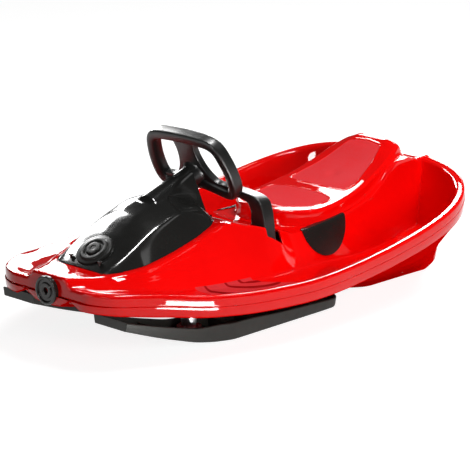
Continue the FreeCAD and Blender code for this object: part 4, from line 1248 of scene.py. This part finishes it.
@dataclass
class Saddle:
    """Seat cover with its raised back end and two textured pads."""

    wall: float = 0.003
    sharp: float = 45
    edge_round: float = 0.007
    crown_share: float = 0.55
    crown_blend: float = 0.002
    tail_x: float = -0.465
    pads_x: Pair = (-0.43, -0.2)
    curve_x: float = -0.09
    front_x: float = -0.068
    crown: Curve = Curve((
        (-0.93, 0.975), (-0.87, 1.1), (-0.8, 1.05), (-0.7, 0.944), (-0.6, 0.868), (-0.5, 0.816),
        (-0.3, 0.768), (-0.2, 0.772), (-0.136, 0.776)))
    edge: Curve = Curve((
        (-0.93, 0.96), (-0.87, 1.05), (-0.8, 1.01), (-0.7, 0.93), (-0.6, 0.858), (-0.5, 0.806),
        (-0.3, 0.756), (-0.2, 0.76), (-0.136, 0.764)))
    width: Curve = Curve((
        (-0.93, 0.18), (-0.87, 0.225), (-0.8, 0.265), (-0.7, 0.297), (-0.55, 0.33), (-0.4, 0.352),
        (-0.32, 0.352), (-0.26, 0.338), (-0.21, 0.297), (-0.175, 0.245), (-0.15, 0.19), (-0.136, 0.14)))
    front_pad: Rows = ((-0.088, 0.0), (-0.094, 0.045), (-0.118, 0.074), (-0.15, 0.086), (-0.19, 0.088),
                       (-0.208, 0.080), (-0.217, 0.05), (-0.221, 0.0))
    rear_pad: Rows = ((-0.243, 0.0), (-0.245, 0.05), (-0.252, 0.077), (-0.275, 0.08), (-0.33, 0.068),
                      (-0.385, 0.053), (-0.408, 0.042), (-0.416, 0.0))
    bead: float = 0.0011
    bead_place: float = 0.002
    bead_width: float = 0.0019
    pad_sink: float = 0.0006
    pad_slope: Pair = (0.002, 0.005)
    pad_margin: float = 0.0035
    pad_drop: float = 0.006
    outside: float = -0.01
    dimple: Place = (-0.303, 0.012, 0.0022)
    foot_gap: float = 0.0004
    foot_rise: float = 0.002
    skirt_drop: float = 0.25
    skirt_out: Place = (0.0006, 0.002, 0.0035)

    def half(self, x: np.ndarray) -> np.ndarray:
        """Half width of the plateau."""
        return LINES.wide(self.width, x)

    @staticmethod
    def shares(x: np.ndarray) -> np.ndarray:
        """Shares across the plateau, crowded at its edge."""
        across = np.concatenate([np.linspace(0, 0.9, 52), np.linspace(0.91, 1, 14)])
        return np.broadcast_to(across, (len(x), len(across)))

    def foot(self, x: np.ndarray) -> np.ndarray:
        """Height of the cover's lower edge, just over the ledge."""
        return LINES.high(LINES.ledge_height, x) + self.foot_gap

    @staticmethod
    def pad_line(rows: Rows) -> np.ndarray:
        """Half outline of a pad, smoothed between its points.

        Args:
            rows: points from its front to its rear.
        Returns:
            Fine points that fall along X.
        """
        table = np.array(rows)
        turn = np.concatenate([[0], np.cumsum(np.hypot(*np.diff(table, axis=0).T))])
        fine = np.linspace(0, turn[-1], 60)
        return np.stack([Curve(tuple(zip(turn, table[:, k])))(fine) for k in (0, 1)], 1)

    def pad_depth(self, x: np.ndarray, across: np.ndarray) -> np.ndarray:
        """Signed distance into the nearer pad.

        Args:
            x: places along the hull.
            across: distances from its middle.
        Returns:
            Distances, positive inside.
        """
        points = np.stack([x.ravel(), across.ravel()], 1)
        depths = []
        for rows in (self.front_pad, self.rear_pad):
            line = self.pad_line(rows)
            edge = np.interp(x.ravel(), line[::-1, 0], line[::-1, 1], left=-1, right=-1)
            reach = line_distance(points, line)
            depths.append(np.where(across.ravel() < edge, reach, -reach))
        return np.maximum(*depths).reshape(x.shape)

    def height(self, x: np.ndarray, y: np.ndarray, reach: np.ndarray) -> np.ndarray:
        """Height of the seat's top.

        Args:
            x: places along the hull.
            y: places across it.
            reach: distances in from the cover's edge.
        Returns:
            Heights.
        """
        across = np.abs(y)
        crown = LINES.high(self.crown, x)
        edge = LINES.high(self.edge, x)
        half = self.half(x)
        flat = self.crown_share * half
        slope = crown + (edge - crown) * (across - flat) / (half - flat)
        top = soft_min(crown + 0 * y, slope, self.crown_blend)
        depth = self.pad_depth(x, across)
        bead = np.exp(-((depth - self.bead_place) / self.bead_width) ** 2)
        top = top + self.bead * bead - self.pad_sink * ease(*self.pad_slope, depth)
        place, radius, drop = self.dimple
        top = top - drop * np.exp(-(((x - place) / radius) ** 2 + (y / radius) ** 2))
        return top - round_off(reach, self.edge_round)

    def dress(self) -> None:
        """Build the seat cover."""
        rear, front = self.pads_x
        stations = graded((self.tail_x, rear, 16), (rear, front, 120), (front, self.curve_x, 70),
                          (self.curve_x, self.front_x, 16))
        levels = (lambda x, z: z - self.skirt_drop * (z - self.foot(x)),
                  lambda x, z: self.foot(x) + self.foot_rise,
                  lambda x, z: self.foot(x))
        skirts = list(zip(self.skirt_out, levels))
        piece = Sheet("saddle", stations, self.half, self.shares, self.height, skirts).build()
        place = points_of(piece)
        depth = self.pad_depth(place[:, 0], np.abs(place[:, 1])) - self.pad_margin
        top = LINES.high(self.edge, place[:, 0]) - self.pad_drop
        add_zone(piece, np.where(place[:, 2] > top, depth, self.outside))
        smooth(thicken(piece, self.wall), self.sharp)
        finish_piece(piece, Finish.RED, Body.HULL, "seat_cover")


@dataclass
class Column:
    """Axis of the steering column."""

    hub: Place = (0.105, 0.0, 0.295)
    angle: float = math.radians(25.0)

    @property
    def down(self) -> Vector:
        """Way along the column from the wheel to the nose."""
        return Vector((math.cos(self.angle), 0, -math.sin(self.angle)))

    @property
    def rise(self) -> Vector:
        """Way up in the wheel's plane."""
        return Vector((math.sin(self.angle), 0, math.cos(self.angle)))

    def at(self, reach: float, across: float = 0.0, rise: float = 0.0) -> Vector:
        """Point at a reach along the column, across and up from it."""
        return Vector(self.hub) + self.down * reach + Vector((0, across, 0)) + self.rise * rise


COLUMN = Column()


@dataclass
class Hood:
    """Black bonnet with two crests and a cone over the steering column."""

    wall: float = 0.003
    sharp: float = 35
    rear_x: float = 0.127
    crests_x: Pair = (0.16, 0.3)
    front_x: float = 0.419
    rear_corner: float = 0.03
    ridge_share: float = 1 / 3
    ridge_blend: float = 0.003
    crest_round: float = 0.006
    crest_span: float = 0.06
    foot_lift: float = 0.0015
    foot_gap: float = 0.0003
    edge_drop: float = 0.0006
    cone_start: float = 0.0275
    cone_length: float = 0.122
    cone_top: float = 0.0215
    cone_foot: float = 0.034
    cone_shoulder: float = 0.88
    cone_sink: float = 1.2
    cone_blend: float = 0.005
    sleeve_length: float = 0.06
    sleeve_inset: float = 0.0004
    sleeve_bore: float = 0.0131
    sleeve_mouth: Pair = (0.0165, 0.002)
    sleeve_round: float = 0.0015
    cap_x: float = 0.380
    cap_tilt: float = math.radians(33.0)
    cap_round: float = 0.0008
    cap_profile: Rows = (
        (0.0026, -0.001), (0.038, -0.0035), (0.038, 0.0025), (0.0365, 0.0032), (0.0295, 0.0036),
        (0.028, 0.0058), (0.0265, 0.0062), (0.0215, 0.0062), (0.020, 0.0052), (0.0195, 0.0036),
        (0.0155, 0.0034), (0.015, 0.0072), (0.014, 0.008), (0.0065, 0.008), (0.0055, 0.0076),
        (0.0052, 0.0034), (0.0026, 0.0034))
    ridge: Curve = Curve((
        (0.254, 0.9), (0.284, 0.98), (0.33, 1.05), (0.408, 1.066), (0.47, 1.042), (0.566, 0.988),
        (0.67, 0.872), (0.76, 0.756), (0.838, 0.665)))
    crest: Curve = Curve((
        (0.254, 0.89), (0.284, 0.93), (0.33, 0.98), (0.43, 0.992), (0.536, 0.936), (0.6, 0.888),
        (0.68, 0.816), (0.74, 0.756), (0.8, 0.7), (0.838, 0.66)))
    crest_width: Curve = Curve((
        (0.254, 0.2), (0.284, 0.22), (0.33, 0.233), (0.43, 0.25), (0.68, 0.25), (0.74, 0.24),
        (0.838, 0.2)))
    edge_width: Curve = Curve((
        (0.254, 0.273), (0.326, 0.307), (0.434, 0.333), (0.56, 0.337), (0.68, 0.335), (0.72, 0.32),
        (0.774, 0.283), (0.838, 0.21)))

    def half(self, x: np.ndarray) -> np.ndarray:
        """Half width of the hood's edge, rounded at its rear corners."""
        return LINES.wide(self.edge_width, x) - round_off(x - self.rear_x, self.rear_corner)

    def shares(self, x: np.ndarray) -> np.ndarray:
        """Shares across the hood, crowded at its crests.

        Args:
            x: stations along the hull.
        Returns:
            One row of shares a station.
        """
        crest = LINES.wide(self.crest_width, x) / self.half(x)
        breaks = [0 * x, crest - self.crest_span, crest + self.crest_span, np.ones_like(x)]
        return joined_shares(breaks, [34, 14, 18], 0.9)

    def cone(self, x: np.ndarray, across: np.ndarray) -> np.ndarray:
        """Height of the cone over the column.

        Args:
            x: places along the hull.
            across: distances from its middle.
        Returns:
            Heights, 0 behind the cone's start.
        """
        along = (x - COLUMN.hub[0]) / math.cos(COLUMN.angle)
        end = self.cone_start + self.cone_length
        radius = np.interp(along, (self.cone_start, end), (self.cone_top, self.cone_foot))
        axis = COLUMN.hub[2] - (x - COLUMN.hub[0]) * math.tan(COLUMN.angle)
        bend = np.minimum(across / radius, self.cone_shoulder)
        crown = np.sqrt(1 - bend ** 2)
        height = axis + radius * (crown - (across / radius - bend) * bend / crown) / math.cos(COLUMN.angle)
        height = height - self.cone_sink * np.maximum(along - end, 0)
        return np.where(along > self.cone_start, height, 0)

    def height(self, x: np.ndarray, y: np.ndarray, reach: np.ndarray) -> np.ndarray:
        """Height of the hood's skin, cone included.

        Args:
            x: places along the hull.
            y: places across it.
            reach: distances in from the hood's edge, which it doesn't need.
        Returns:
            Heights.
        """
        across = np.abs(y)
        ridge = LINES.high(self.ridge, x)
        crest = LINES.high(self.crest, x)
        crest_y = LINES.wide(self.crest_width, x)
        flat = crest_y * self.ridge_share
        foot = LINES.high(LINES.ledge_height, x) + self.foot_lift
        slope = ridge + (crest - ridge) * (across - flat) / (crest_y - flat)
        top = soft_min(ridge + 0 * y, slope, self.ridge_blend)
        side = crest + (foot - crest) * (across - crest_y) / (self.half(x) - crest_y)
        return soft_max(soft_min(top, side, self.crest_round), self.cone(x, across), self.cone_blend)

    def sleeve(self) -> bpy.types.Object:
        """Round inside of the cone, bored for the column.

        Returns:
            The sleeve.
        """
        start, end = self.cone_start, self.cone_start + self.sleeve_length
        slope = (self.cone_foot - self.cone_top) / self.cone_length
        top = self.cone_top - self.sleeve_inset
        mouth, depth = self.sleeve_mouth
        profile = [(self.sleeve_bore, start + depth), (self.sleeve_bore, end),
                   (top + slope * self.sleeve_length, end), (top, start), (mouth, start),
                   (mouth, start + depth)]
        return lathe("sleeve", rounded(profile, self.sleeve_round), COLUMN.at(0), COLUMN.down)

    def shell(self) -> bpy.types.Object:
        """Bonnet with its cone's end.

        Returns:
            The bonnet.
        """
        rear, front = self.crests_x
        stations = graded((self.rear_x, rear, 22), (rear, front, 56), (front, self.front_x, 48))
        skirts = [(0.0, lambda x, z: z - self.edge_drop),
                  (0.0, lambda x, z: LINES.high(LINES.ledge_height, x) + self.foot_gap)]
        piece = Sheet("bonnet", stations, self.half, self.shares, self.height, skirts).build()
        return smooth(join([thicken(piece, self.wall), self.sleeve()]), self.sharp)

    def cap(self) -> bpy.types.Object:
        """Ringed cap on the front of the hood.

        Returns:
            The cap.
        """
        way = Vector((math.sin(self.cap_tilt), 0, math.cos(self.cap_tilt)))
        foot = Vector((self.cap_x, 0, float(LINES.high(self.ridge, np.array(self.cap_x)))))
        profile = rounded(self.cap_profile, self.cap_round, 3)
        return smooth(lathe("bonnet_cap", profile, foot, way, 96), self.sharp)

    def dress(self) -> None:
        """Build the hood and its cap."""
        finish_piece(self.shell(), Finish.HOOD, Body.HULL, "hood")
        finish_piece(self.cap(), Finish.CAP, Body.HULL, "hood_cap")


@dataclass
class Wheel:
    """Steering wheel: a rounded rim, a recessed spoke and a flared hub."""

    reach: float = 0.113
    top: float = 0.0965
    depth: float = 0.028
    rim: float = 0.0240
    sharp: float = 40
    rim_round: float = 0.0085
    inner_lean: Pair = (0.002, 0.003)
    plate_back: float = -0.007
    plate_depth: float = 0.014
    plate_round: float = 0.0035
    hub_round: float = 0.002
    boss_round: float = 0.0012
    outline: Rows = (
        (0, 1.0), (0.38, 0.985), (0.64, 0.945), (0.83, 0.81), (0.94, 0.53), (0.995, 0.2), (1.0, -0.06),
        (0.95, -0.31), (0.81, -0.465), (0.58, -0.455), (0.3, -0.38), (0, -0.34))
    spoke: Rows = (
        (0, 0.9), (0.25, 0.88), (0.235, 0.7), (0.24, 0.35), (0.36, 0.02), (0.55, -0.15), (0.78, -0.18),
        (0.86, -0.3), (0.6, -0.33), (0.3, -0.28), (0, -0.26))
    hub: Rows = (
        (0.0082, 0.004), (0.029, 0.004), (0.0245, 0.010), (0.0215, 0.018), (0.0195, 0.026),
        (0.0082, 0.026))
    boss: Rows = (
        (0.0083, -0.006), (0.026, -0.006), (0.024, -0.0105), (0.0115, -0.0118), (0.0083, -0.0105))

    def scaled(self, rows: Rows) -> np.ndarray:
        """Whole outline in metres from its right half in shares."""
        half = [(y * self.reach, r * self.top) for y, r in rows]
        return np.array(half + [(-y, r) for y, r in reversed(half[1:-1])])

    def band(self) -> bpy.types.Object:
        """Rim: a rounded section swept round the outline.

        Returns:
            The rim.
        """
        outer = closed_loop(self.scaled(self.outline), 200)
        ahead = np.roll(outer, -1, 0) - np.roll(outer, 1, 0)
        ahead /= np.linalg.norm(ahead, axis=1)[:, None]
        inward = np.stack([ahead[:, 1], -ahead[:, 0]], 1)
        half = self.depth / 2
        rider, nose = self.inner_lean
        corners = [(0, -half), (self.rim, rider - half), (self.rim, half - nose), (0, half)]
        section = rounded(corners, self.rim_round, 6)
        rings = [[COLUMN.at(reach, *(place + way * across)) for across, reach in section]
                 for place, way in zip(outer, inward)]
        return swept("wheel", rings, closed=True)

    def dress(self) -> None:
        """Build the wheel from its rim, spoke plate, hub and the boss that holds its screw."""
        spoke = [COLUMN.at(self.plate_back, y, r) for y, r in closed_loop(self.scaled(self.spoke), 160)]
        parts = [self.band(),
                 bevelled(plate("spoke", spoke, COLUMN.down * self.plate_depth), self.plate_round, 4),
                 lathe("hub", rounded(self.hub, self.hub_round), COLUMN.at(0), COLUMN.down),
                 lathe("boss", rounded(self.boss, self.boss_round), COLUMN.at(0), COLUMN.down)]
        piece = smooth(join(parts), self.sharp)
        finish_piece(piece, Finish.GRIP, Body.STEERING, "steering_wheel")


@dataclass
class Bow:
    """Brake bow over the saddle and its arms inside."""

    rear: float = 0.015
    depth: float = 0.030
    corner_share: float = 0.12
    sharp: float = 38
    outer: Rows = (
        (0.138, 0.128), (0.1335, 0.170), (0.127, 0.215), (0.118, 0.239), (0.095, 0.250), (0.05, 0.2545),
        (0.0, 0.257))
    inner: Rows = (
        (0.092, 0.128), (0.0917, 0.170), (0.091, 0.212), (0.084, 0.231), (0.066, 0.238),
        (0.033, 0.2400), (0.0, 0.241))
    pivot: Pair = (-0.137, 0.120)
    eye: float = 0.016
    arm_y: Pair = (0.098, 0.108)
    arm_front: Pair = (0.045, 0.1225)
    arm_half: float = 0.011
    arm_round: float = 0.001

    @staticmethod
    def whole(rows: Rows, count: int = 70) -> np.ndarray:
        """Smooth line from foot to foot through the points of its left half.

        Args:
            rows: points from the left foot to the middle.
            count: fine points of a half.
        Returns:
            Points across and up.
        """
        table = np.array(rows)
        fine = np.linspace(0, len(rows) - 1, count)
        half = np.stack([Curve(tuple(enumerate(table[:, k])))(fine) for k in (0, 1)], 1)
        return np.concatenate([half, half[-2::-1] * np.array([-1.0, 1.0])])

    def arch(self) -> bpy.types.Object:
        """The bow itself, a rounded bar swept from foot to foot.

        Returns:
            The bar.
        """
        corners = rounded([(0, 0), (1, 0), (1, 1), (0, 1)], self.corner_share, 5)
        rings = []
        for out, into in zip(self.whole(self.outer), self.whole(self.inner)):
            rings.append([(self.rear + self.depth * v, *(into + (out - into) * u)) for u, v in corners])
        return swept("hand_brake", rings, closed=False)

    def arm(self, side: float) -> bpy.types.Object:
        """Plate from a leg's foot back to the brake pivot.

        Args:
            side: 1 for the left, -1 for the right.
        Returns:
            The plate.
        """
        x, z = self.pivot
        front, foot = self.arm_front
        turns = np.linspace(0.5 * math.pi, 1.5 * math.pi, 20)
        line = [(front, foot - self.arm_half), (front, foot + self.arm_half)]
        line += [(x + self.eye * math.cos(turn), z + self.eye * math.sin(turn)) for turn in turns]
        near, far = self.arm_y
        outline = [(px, side * near, pz) for px, pz in line]
        return bevelled(plate("arm", outline, Vector((0, side * (far - near), 0))), self.arm_round, 2)

    def dress(self) -> None:
        """Build the bow."""
        piece = smooth(join([self.arch()] + [self.arm(side) for _, side in SIDES]), self.sharp)
        finish_piece(piece, Finish.GRIP, Body.BRAKE, "brake_bow")


@dataclass
class PivotCover:
    """Dark half disc that wraps over the saddle's edge above the brake pivot."""

    centre: float = -0.143
    radius: float = 0.066
    over: float = 0.012
    lift: float = 0.0016
    wall: float = 0.0014
    sharp: float = 50
    tip: float = 0.0004
    fold_share: float = 0.3
    rim_reach: float = 0.2
    slope_step: float = 1e-4

    def build(self, name: str, side: float) -> bpy.types.Object:
        """Patch laid on the deck's flank.

        Args:
            name: piece name.
            side: 1 for the left, -1 for the right.
        Returns:
            The patch with its wall.
        """
        columns = np.sin(np.linspace(-1, 1, 61) * math.pi / 2)
        x = self.centre + self.radius * columns
        ledge_y = LINES.wide(LINES.ledge_width, x)
        run = LINES.wide(LINES.floor_width, x) - ledge_y
        drop = LINES.high(LINES.ledge_height, x) - LINES.high(LINES.floor_height, x)
        lean = run / np.hypot(drop, run)
        arc = np.sqrt(np.maximum(1 - columns ** 2, self.tip))
        low = self.radius * arc
        over = self.over * arc ** 0.5
        share = graded((0, self.fold_share, 14), (self.fold_share, 1, 29))
        along = -over[:, None] + (low + over)[:, None] * share[None, :]
        y = ledge_y[:, None] + np.where(along < 0, along, along * lean[:, None])
        x = np.broadcast_to(x[:, None], y.shape)
        reach = np.full(y.shape, self.rim_reach)
        z = LINES.deck(x, y, reach)
        slope_x = (LINES.deck(x + self.slope_step, y, reach) - z) / self.slope_step
        slope_y = (LINES.deck(x, y + self.slope_step, reach) - z) / self.slope_step
        normal = np.stack([-slope_x, -slope_y, np.ones_like(z)], 2)
        normal /= np.linalg.norm(normal, axis=2)[:, :, None]
        grid = np.stack([x, y, z], 2) + normal * self.lift
        grid[:, :, 1] *= side
        quads = quads_of(*z.shape)
        if side < 0:
            quads = quads[:, ::-1]
        piece = mesh_piece(name, grid.reshape(-1, 3), quads.tolist())
        return smooth(thicken(piece, self.wall), self.sharp)

    def dress(self) -> None:
        """Build both covers."""
        for word, side in SIDES:
            piece = self.build("half_disc_" + word, side)
            finish_piece(piece, Finish.COVER, Body.HULL, "pivot_cover_" + word)


@dataclass
class NoseGuide:
    """Stepped black guide in the nose, bored for a rope."""

    seat: Place = (0.4993, 0, 0.137)
    sharp: float = 35
    edge_round: float = 0.0008
    profile: Rows = (
        (0.006, -0.026), (0.013, -0.026), (0.013, 0.0), (0.028, 0.0), (0.028, 0.0078), (0.0265, 0.0095),
        (0.0235, 0.0097), (0.022, 0.0085), (0.0215, 0.0058), (0.0155, 0.0056), (0.015, 0.0080),
        (0.0138, 0.0088), (0.0085, 0.0088), (0.006, 0.0075))

    def dress(self) -> None:
        """Build the guide."""
        profile = rounded(self.profile, self.edge_round, 3)
        piece = smooth(lathe("nose_guide", profile, Vector(self.seat), Vector((1, 0, 0)), 96), self.sharp)
        finish_piece(piece, Finish.COVER, Body.HULL, "rope_guide")


@dataclass
class Ski:
    """Trough-shaped ski with a raised tip, cross ribs and a pedestal."""

    rear: float = -0.139
    front: float = 0.462
    half_width: float = 0.042
    flare: float = 0.003
    tip_rise: float = 0.082
    wall_height: float = 0.035
    wall: float = 0.004
    floor: float = 0.005
    sharp: float = 35
    edge_round: float = 0.0025
    hollow_round: float = 0.003
    hollow_flare: float = 0.0004
    hollow_top: float = 0.004
    kingpin: Pair = (0.255, 0.128)
    pedestal: Pair = (0.030, 0.034)
    pedestal_bore: float = 0.002
    pedestal_lift: float = 0.001
    pedestal_round: float = 0.001
    rib_shares: Sequence[float] = (0.12, 0.25, 0.38, 0.5, 0.82, 0.91)
    rib: float = 0.003
    rib_drop: float = 0.008
    rib_foot: float = 0.002
    rib_inset: float = 0.001
    rib_round: float = 0.0006
    width: Curve = Curve(((0, 0.5), (0.015, 0.82), (0.04, 0.97), (0.1, 1.0), (1.0, 1.0)))
    sole: Curve = Curve((
        (0, 0.03), (0.04, 0), (0.5, 0), (0.58, 0.06), (0.68, 0.2), (0.77, 0.4), (0.86, 0.62),
        (1.0, 1.0)))
    side: Curve = Curve((
        (0, 0.54), (0.3, 0.78), (0.5, 1.0), (0.58, 1.0), (0.68, 0.84), (0.86, 0.66), (1.0, 0.5)))

    def sizes(self, x: float) -> Place:
        """Sole, top of the walls and half width at a place along the hull.

        Args:
            x: the place.
        Returns:
            Two heights and the half width.
        """
        share = np.array((x - self.rear) / (self.front - self.rear))
        low = self.tip_rise * float(self.sole(share))
        top = low + self.wall_height * float(self.side(share))
        return low, top, self.half_width * float(self.width(share))

    def section(self, x: float, hollow: bool) -> List[Place]:
        """Rounded section of the outside, or of the hollow inside it.

        Args:
            x: its place along the hull.
            hollow: True for the hollow.
        Returns:
            The section's points in order.
        """
        low, top, reach = self.sizes(x)
        flare, radius = self.flare, self.edge_round
        if hollow:
            low, top, reach = low + self.floor, top + self.hollow_top, reach - self.wall
            flare, radius = flare + self.hollow_flare, self.hollow_round
        corners = [(-reach, low), (reach, low), (reach + flare, top), (-reach - flare, top)]
        return [(x, y, z) for y, z in rounded(corners, radius)]

    def loft(self, name: str, hollow: bool) -> bpy.types.Object:
        """Solid through the ski's sections.

        Args:
            name: piece name.
            hollow: True for the hollow, which stops a wall short of the ends.
        Returns:
            The solid.
        """
        inset = self.wall if hollow else 0.0
        shares = graded((0, 0.02, 8), (0.02, 0.12, 14), (0.12, 0.5, 24), (0.5, 1.0, 50))
        places = self.rear + shares * (self.front - self.rear)
        places = np.unique(np.clip(places, self.rear + inset, self.front - inset))
        return swept(name, [self.section(float(x), hollow) for x in places], closed=False)

    def build(self, name: str, side: float) -> bpy.types.Object:
        """Whole ski, at its place on one side.

        Args:
            name: piece name.
            side: 1 for the left, -1 for the right.
        Returns:
            The ski.
        """
        parts = [cut(self.loft(name, False), [self.loft("hollow", True)])]
        for share in self.rib_shares:
            x = self.rear + share * (self.front - self.rear)
            low, top, reach = self.sizes(x)
            reach = reach - self.rib_inset
            rib = block((x - self.rib / 2, -reach, low + self.rib_foot),
                        (x + self.rib / 2, reach, top - self.rib_drop))
            parts.append(bevelled(rib, self.rib_round, 2))
        x, aside = self.kingpin
        radius, top = self.pedestal
        low = self.sizes(x + radius)[0] + self.pedestal_lift
        profile = [(self.pedestal_bore, low), (radius, low), (radius, top), (self.pedestal_bore, top)]
        post = rounded(profile, self.pedestal_round)
        parts.append(lathe("pedestal", post, Vector((x, 0, 0)), Vector((0, 0, 1)), 48))
        whole = join(parts)
        whole.data.transform(Matrix.Translation((0, side * aside, 0)))
        return smooth(whole, self.sharp)

    def dress(self) -> None:
        """Build both skis."""
        for word, side in SIDES:
            body = Body.LEFT_SKI if side > 0 else Body.RIGHT_SKI
            finish_piece(self.build("ski_trough_" + word, side), Finish.SKI, body, "ski_" + word)


@dataclass
class Hardware:
    """Frame nodes that keep their own shape and get a better finish."""

    finishes: Dict[Slot, Finish] = field(default_factory=lambda: {
        Slot.STEEL: Finish.STEEL, Slot.BUSH: Finish.BUSH, Slot.BLACK_GRIP: Finish.GRIP,
        Slot.BLACK_COVER: Finish.COVER, Slot.RED_SHELL: Finish.RED, Slot.SEAT_RED: Finish.RED,
        Slot.SKI: Finish.SKI})
    dark_screws: Sequence[str] = ("hood_cap_screw", "hood_screws", "wheel_screw")

    def dress(self) -> None:
        """Give every node the finish of its slot."""
        for part in frame["record"]["subparts"]:
            node = frame["nodes"][part["node"]]
            slot = Slot(part["material_slot"])
            finish = Finish.COVER if part["node"] in self.dark_screws else self.finishes[slot]
            node.data.materials.clear()
            node.data.materials.append(PAINT.get(finish))


@dataclass(frozen=True)
class Lamp:
    """A rectangular softbox, either for even light or for a clear reflection."""

    name: str
    use: Glow
    aim: Place
    bearing: float
    elevation: float
    distance: float
    size: Pair
    brightness: float
    along: Optional[Place] = None

    def way(self) -> Vector:
        """Way from the aim to the lamp."""
        turn, rise = math.radians(self.bearing), math.radians(self.elevation)
        return Vector((math.cos(rise) * math.cos(turn), math.cos(rise) * math.sin(turn), math.sin(rise)))

    def axes(self) -> Matrix:
        """The lamp's own axes, with its first side level or along a given way.

        Returns:
            A rotation.
        """
        back = self.way()
        first = Vector(self.along) if self.along else Vector((-back.y, back.x, 0))
        first = (first - back * first.dot(back)).normalized()
        return Matrix((first, back.cross(first), back)).transposed()

    def build(self) -> None:
        """Hang the lamp."""
        data = bpy.data.lights.new(self.name, "AREA")
        data.shape = "RECTANGLE"
        data.size, data.size_y = self.size
        data.energy = self.brightness * math.pi * self.size[0] * self.size[1]
        lamp = linked(self.name, data)
        lamp.location = Vector(self.aim) + self.way() * self.distance
        lamp.rotation_euler = self.axes().to_euler()
        lamp.visible_camera = False
        lamp.visible_glossy = self.use is Glow.SHINE
        lamp.visible_diffuse = self.use is Glow.FILL


@dataclass
class Studio:
    """Floor, light and camera."""

    floor_size: float = 30.0
    floor_colour: Colour = (0.5, 0.5, 0.5, 1)
    floor_glow: Colour = (0.85, 0.85, 0.85, 1)
    world_level: float = 0.07
    eye: Place = (3.4884, 3.3490, 1.4922)
    aim: Place = (-0.00641, 0.0, 0.14147)
    lens: float = 190.87
    sensor: float = 36.0
    far: float = 100.0
    lamps: Sequence[Lamp] = (
        Lamp("top_fill", Glow.FILL, (0, 0, 0.1), 150.0, 68.0, 3.0, (2.4, 2.0), 5.4),
        Lamp("side_fill", Glow.FILL, (0, 0, 0.15), 75.0, 13.0, 3.8, (1.8, 1.3), 11.0),
        Lamp("hood_box", Glow.SHINE, (0.3, -0.03, 0.22), -110.5, 27.0, 4.0, (2.3, 0.75), 40.0,
             along=(0.32, 0.14, 0.48)),
        Lamp("nose_box", Glow.SHINE, (0.48, -0.05, 0.14), -137.0, 14.0, 1.6, (0.48, 0.34), 8.0),
        Lamp("rim_box", Glow.SHINE, (0.1, -0.1, 0.16), -152.0, 27.0, 4.0, (1.3, 1.1), 20.0),
        Lamp("rail_box", Glow.SHINE, (-0.35, 0.27, 0.17), -131.0, 35.0, 4.0, (0.8, 0.9), 16.0),
        Lamp("crest_strip", Glow.SHINE, (0.3, 0.07, 0.23), 171.0, 87.0, 2.8, (0.9, 0.34), 100.0,
             along=(-0.96, 0.27, 0)),
        Lamp("cone_box", Glow.SHINE, (0.17, 0.02, 0.28), 121.0, 47.0, 3.0, (0.7, 0.7), 2.0),
        Lamp("low_card", Glow.SHINE, (0.365, 0.535, 1.0), 0.0, -90.0, 0.996, (0.2, 0.23), 50.0,
             along=(1, 0, 0)),
        Lamp("bow_box", Glow.SHINE, (0.05, 0.1, 0.22), -22.0, 14.0, 4.0, (2.0, 1.6), 2.5),
        Lamp("front_box", Glow.SHINE, (-0.07, 0.05, 0.18), 15.0, 23.0, 3.7, (0.7, 0.5), 40.0),
    )

    def floor(self) -> None:
        """Pale floor that shows white and keeps a faint shadow."""
        half = self.floor_size / 2
        corners = [(-half, -half, 0), (half, -half, 0), (half, half, 0), (-half, half, 0)]
        piece = mesh_piece("floor", corners, [(0, 1, 2, 3)])
        made = bpy.data.materials.new("pale_floor")
        bench = Bench(made)
        seen: Union[Tap, float] = 0.0
        for ray in ("Is Camera Ray", "Is Glossy Ray", "Is Transmission Ray"):
            seen = bench.node("ShaderNodeLightPath", output=ray).larger(seen)
        matt = bench.node("ShaderNodeBsdfDiffuse", {}, {"Color": self.floor_colour})
        shown = bench.blend(seen, BLACK, self.floor_glow)
        glow = bench.node("ShaderNodeEmission", {}, {"Color": shown, "Strength": 1.0})
        both = bench.node("ShaderNodeAddShader", {}, {0: matt, 1: glow})
        bench.node("ShaderNodeOutputMaterial", {}, {"Surface": both})
        piece.data.materials.append(made)

    def world(self) -> None:
        """Plain grey room light."""
        made = bpy.data.worlds.new("room")
        bpy.context.scene.world = made
        bench = Bench(made)
        light = bench.node("ShaderNodeBackground", {}, {"Color": WHITE, "Strength": self.world_level})
        bench.node("ShaderNodeOutputWorld", {}, {"Surface": light})

    def camera(self) -> None:
        """Camera at the photograph's angle."""
        data = bpy.data.cameras.new("camera")
        data.lens = self.lens
        data.sensor_width = self.sensor
        data.clip_end = self.far
        made = linked("camera", data)
        made.location = self.eye
        made.rotation_euler = (Vector(self.aim) - Vector(self.eye)).to_track_quat("-Z", "Y").to_euler()
        bpy.context.scene.camera = made

    def build(self) -> None:
        """Set the stage."""
        self.floor()
        self.world()
        self.camera()
        for lamp in self.lamps:
            lamp.build()
        bpy.context.scene.view_settings.view_transform = "Standard"


def main() -> None:
    """Build the sled piece by piece."""
    logging.basicConfig(level=logging.INFO)
    Hardware().dress()
    for part in (Hull(), Saddle(), Hood(), Wheel(), Bow(), PivotCover(), NoseGuide(), Ski()):
        part.dress()
    Studio().build()


if __name__ == "__main__":
    main()
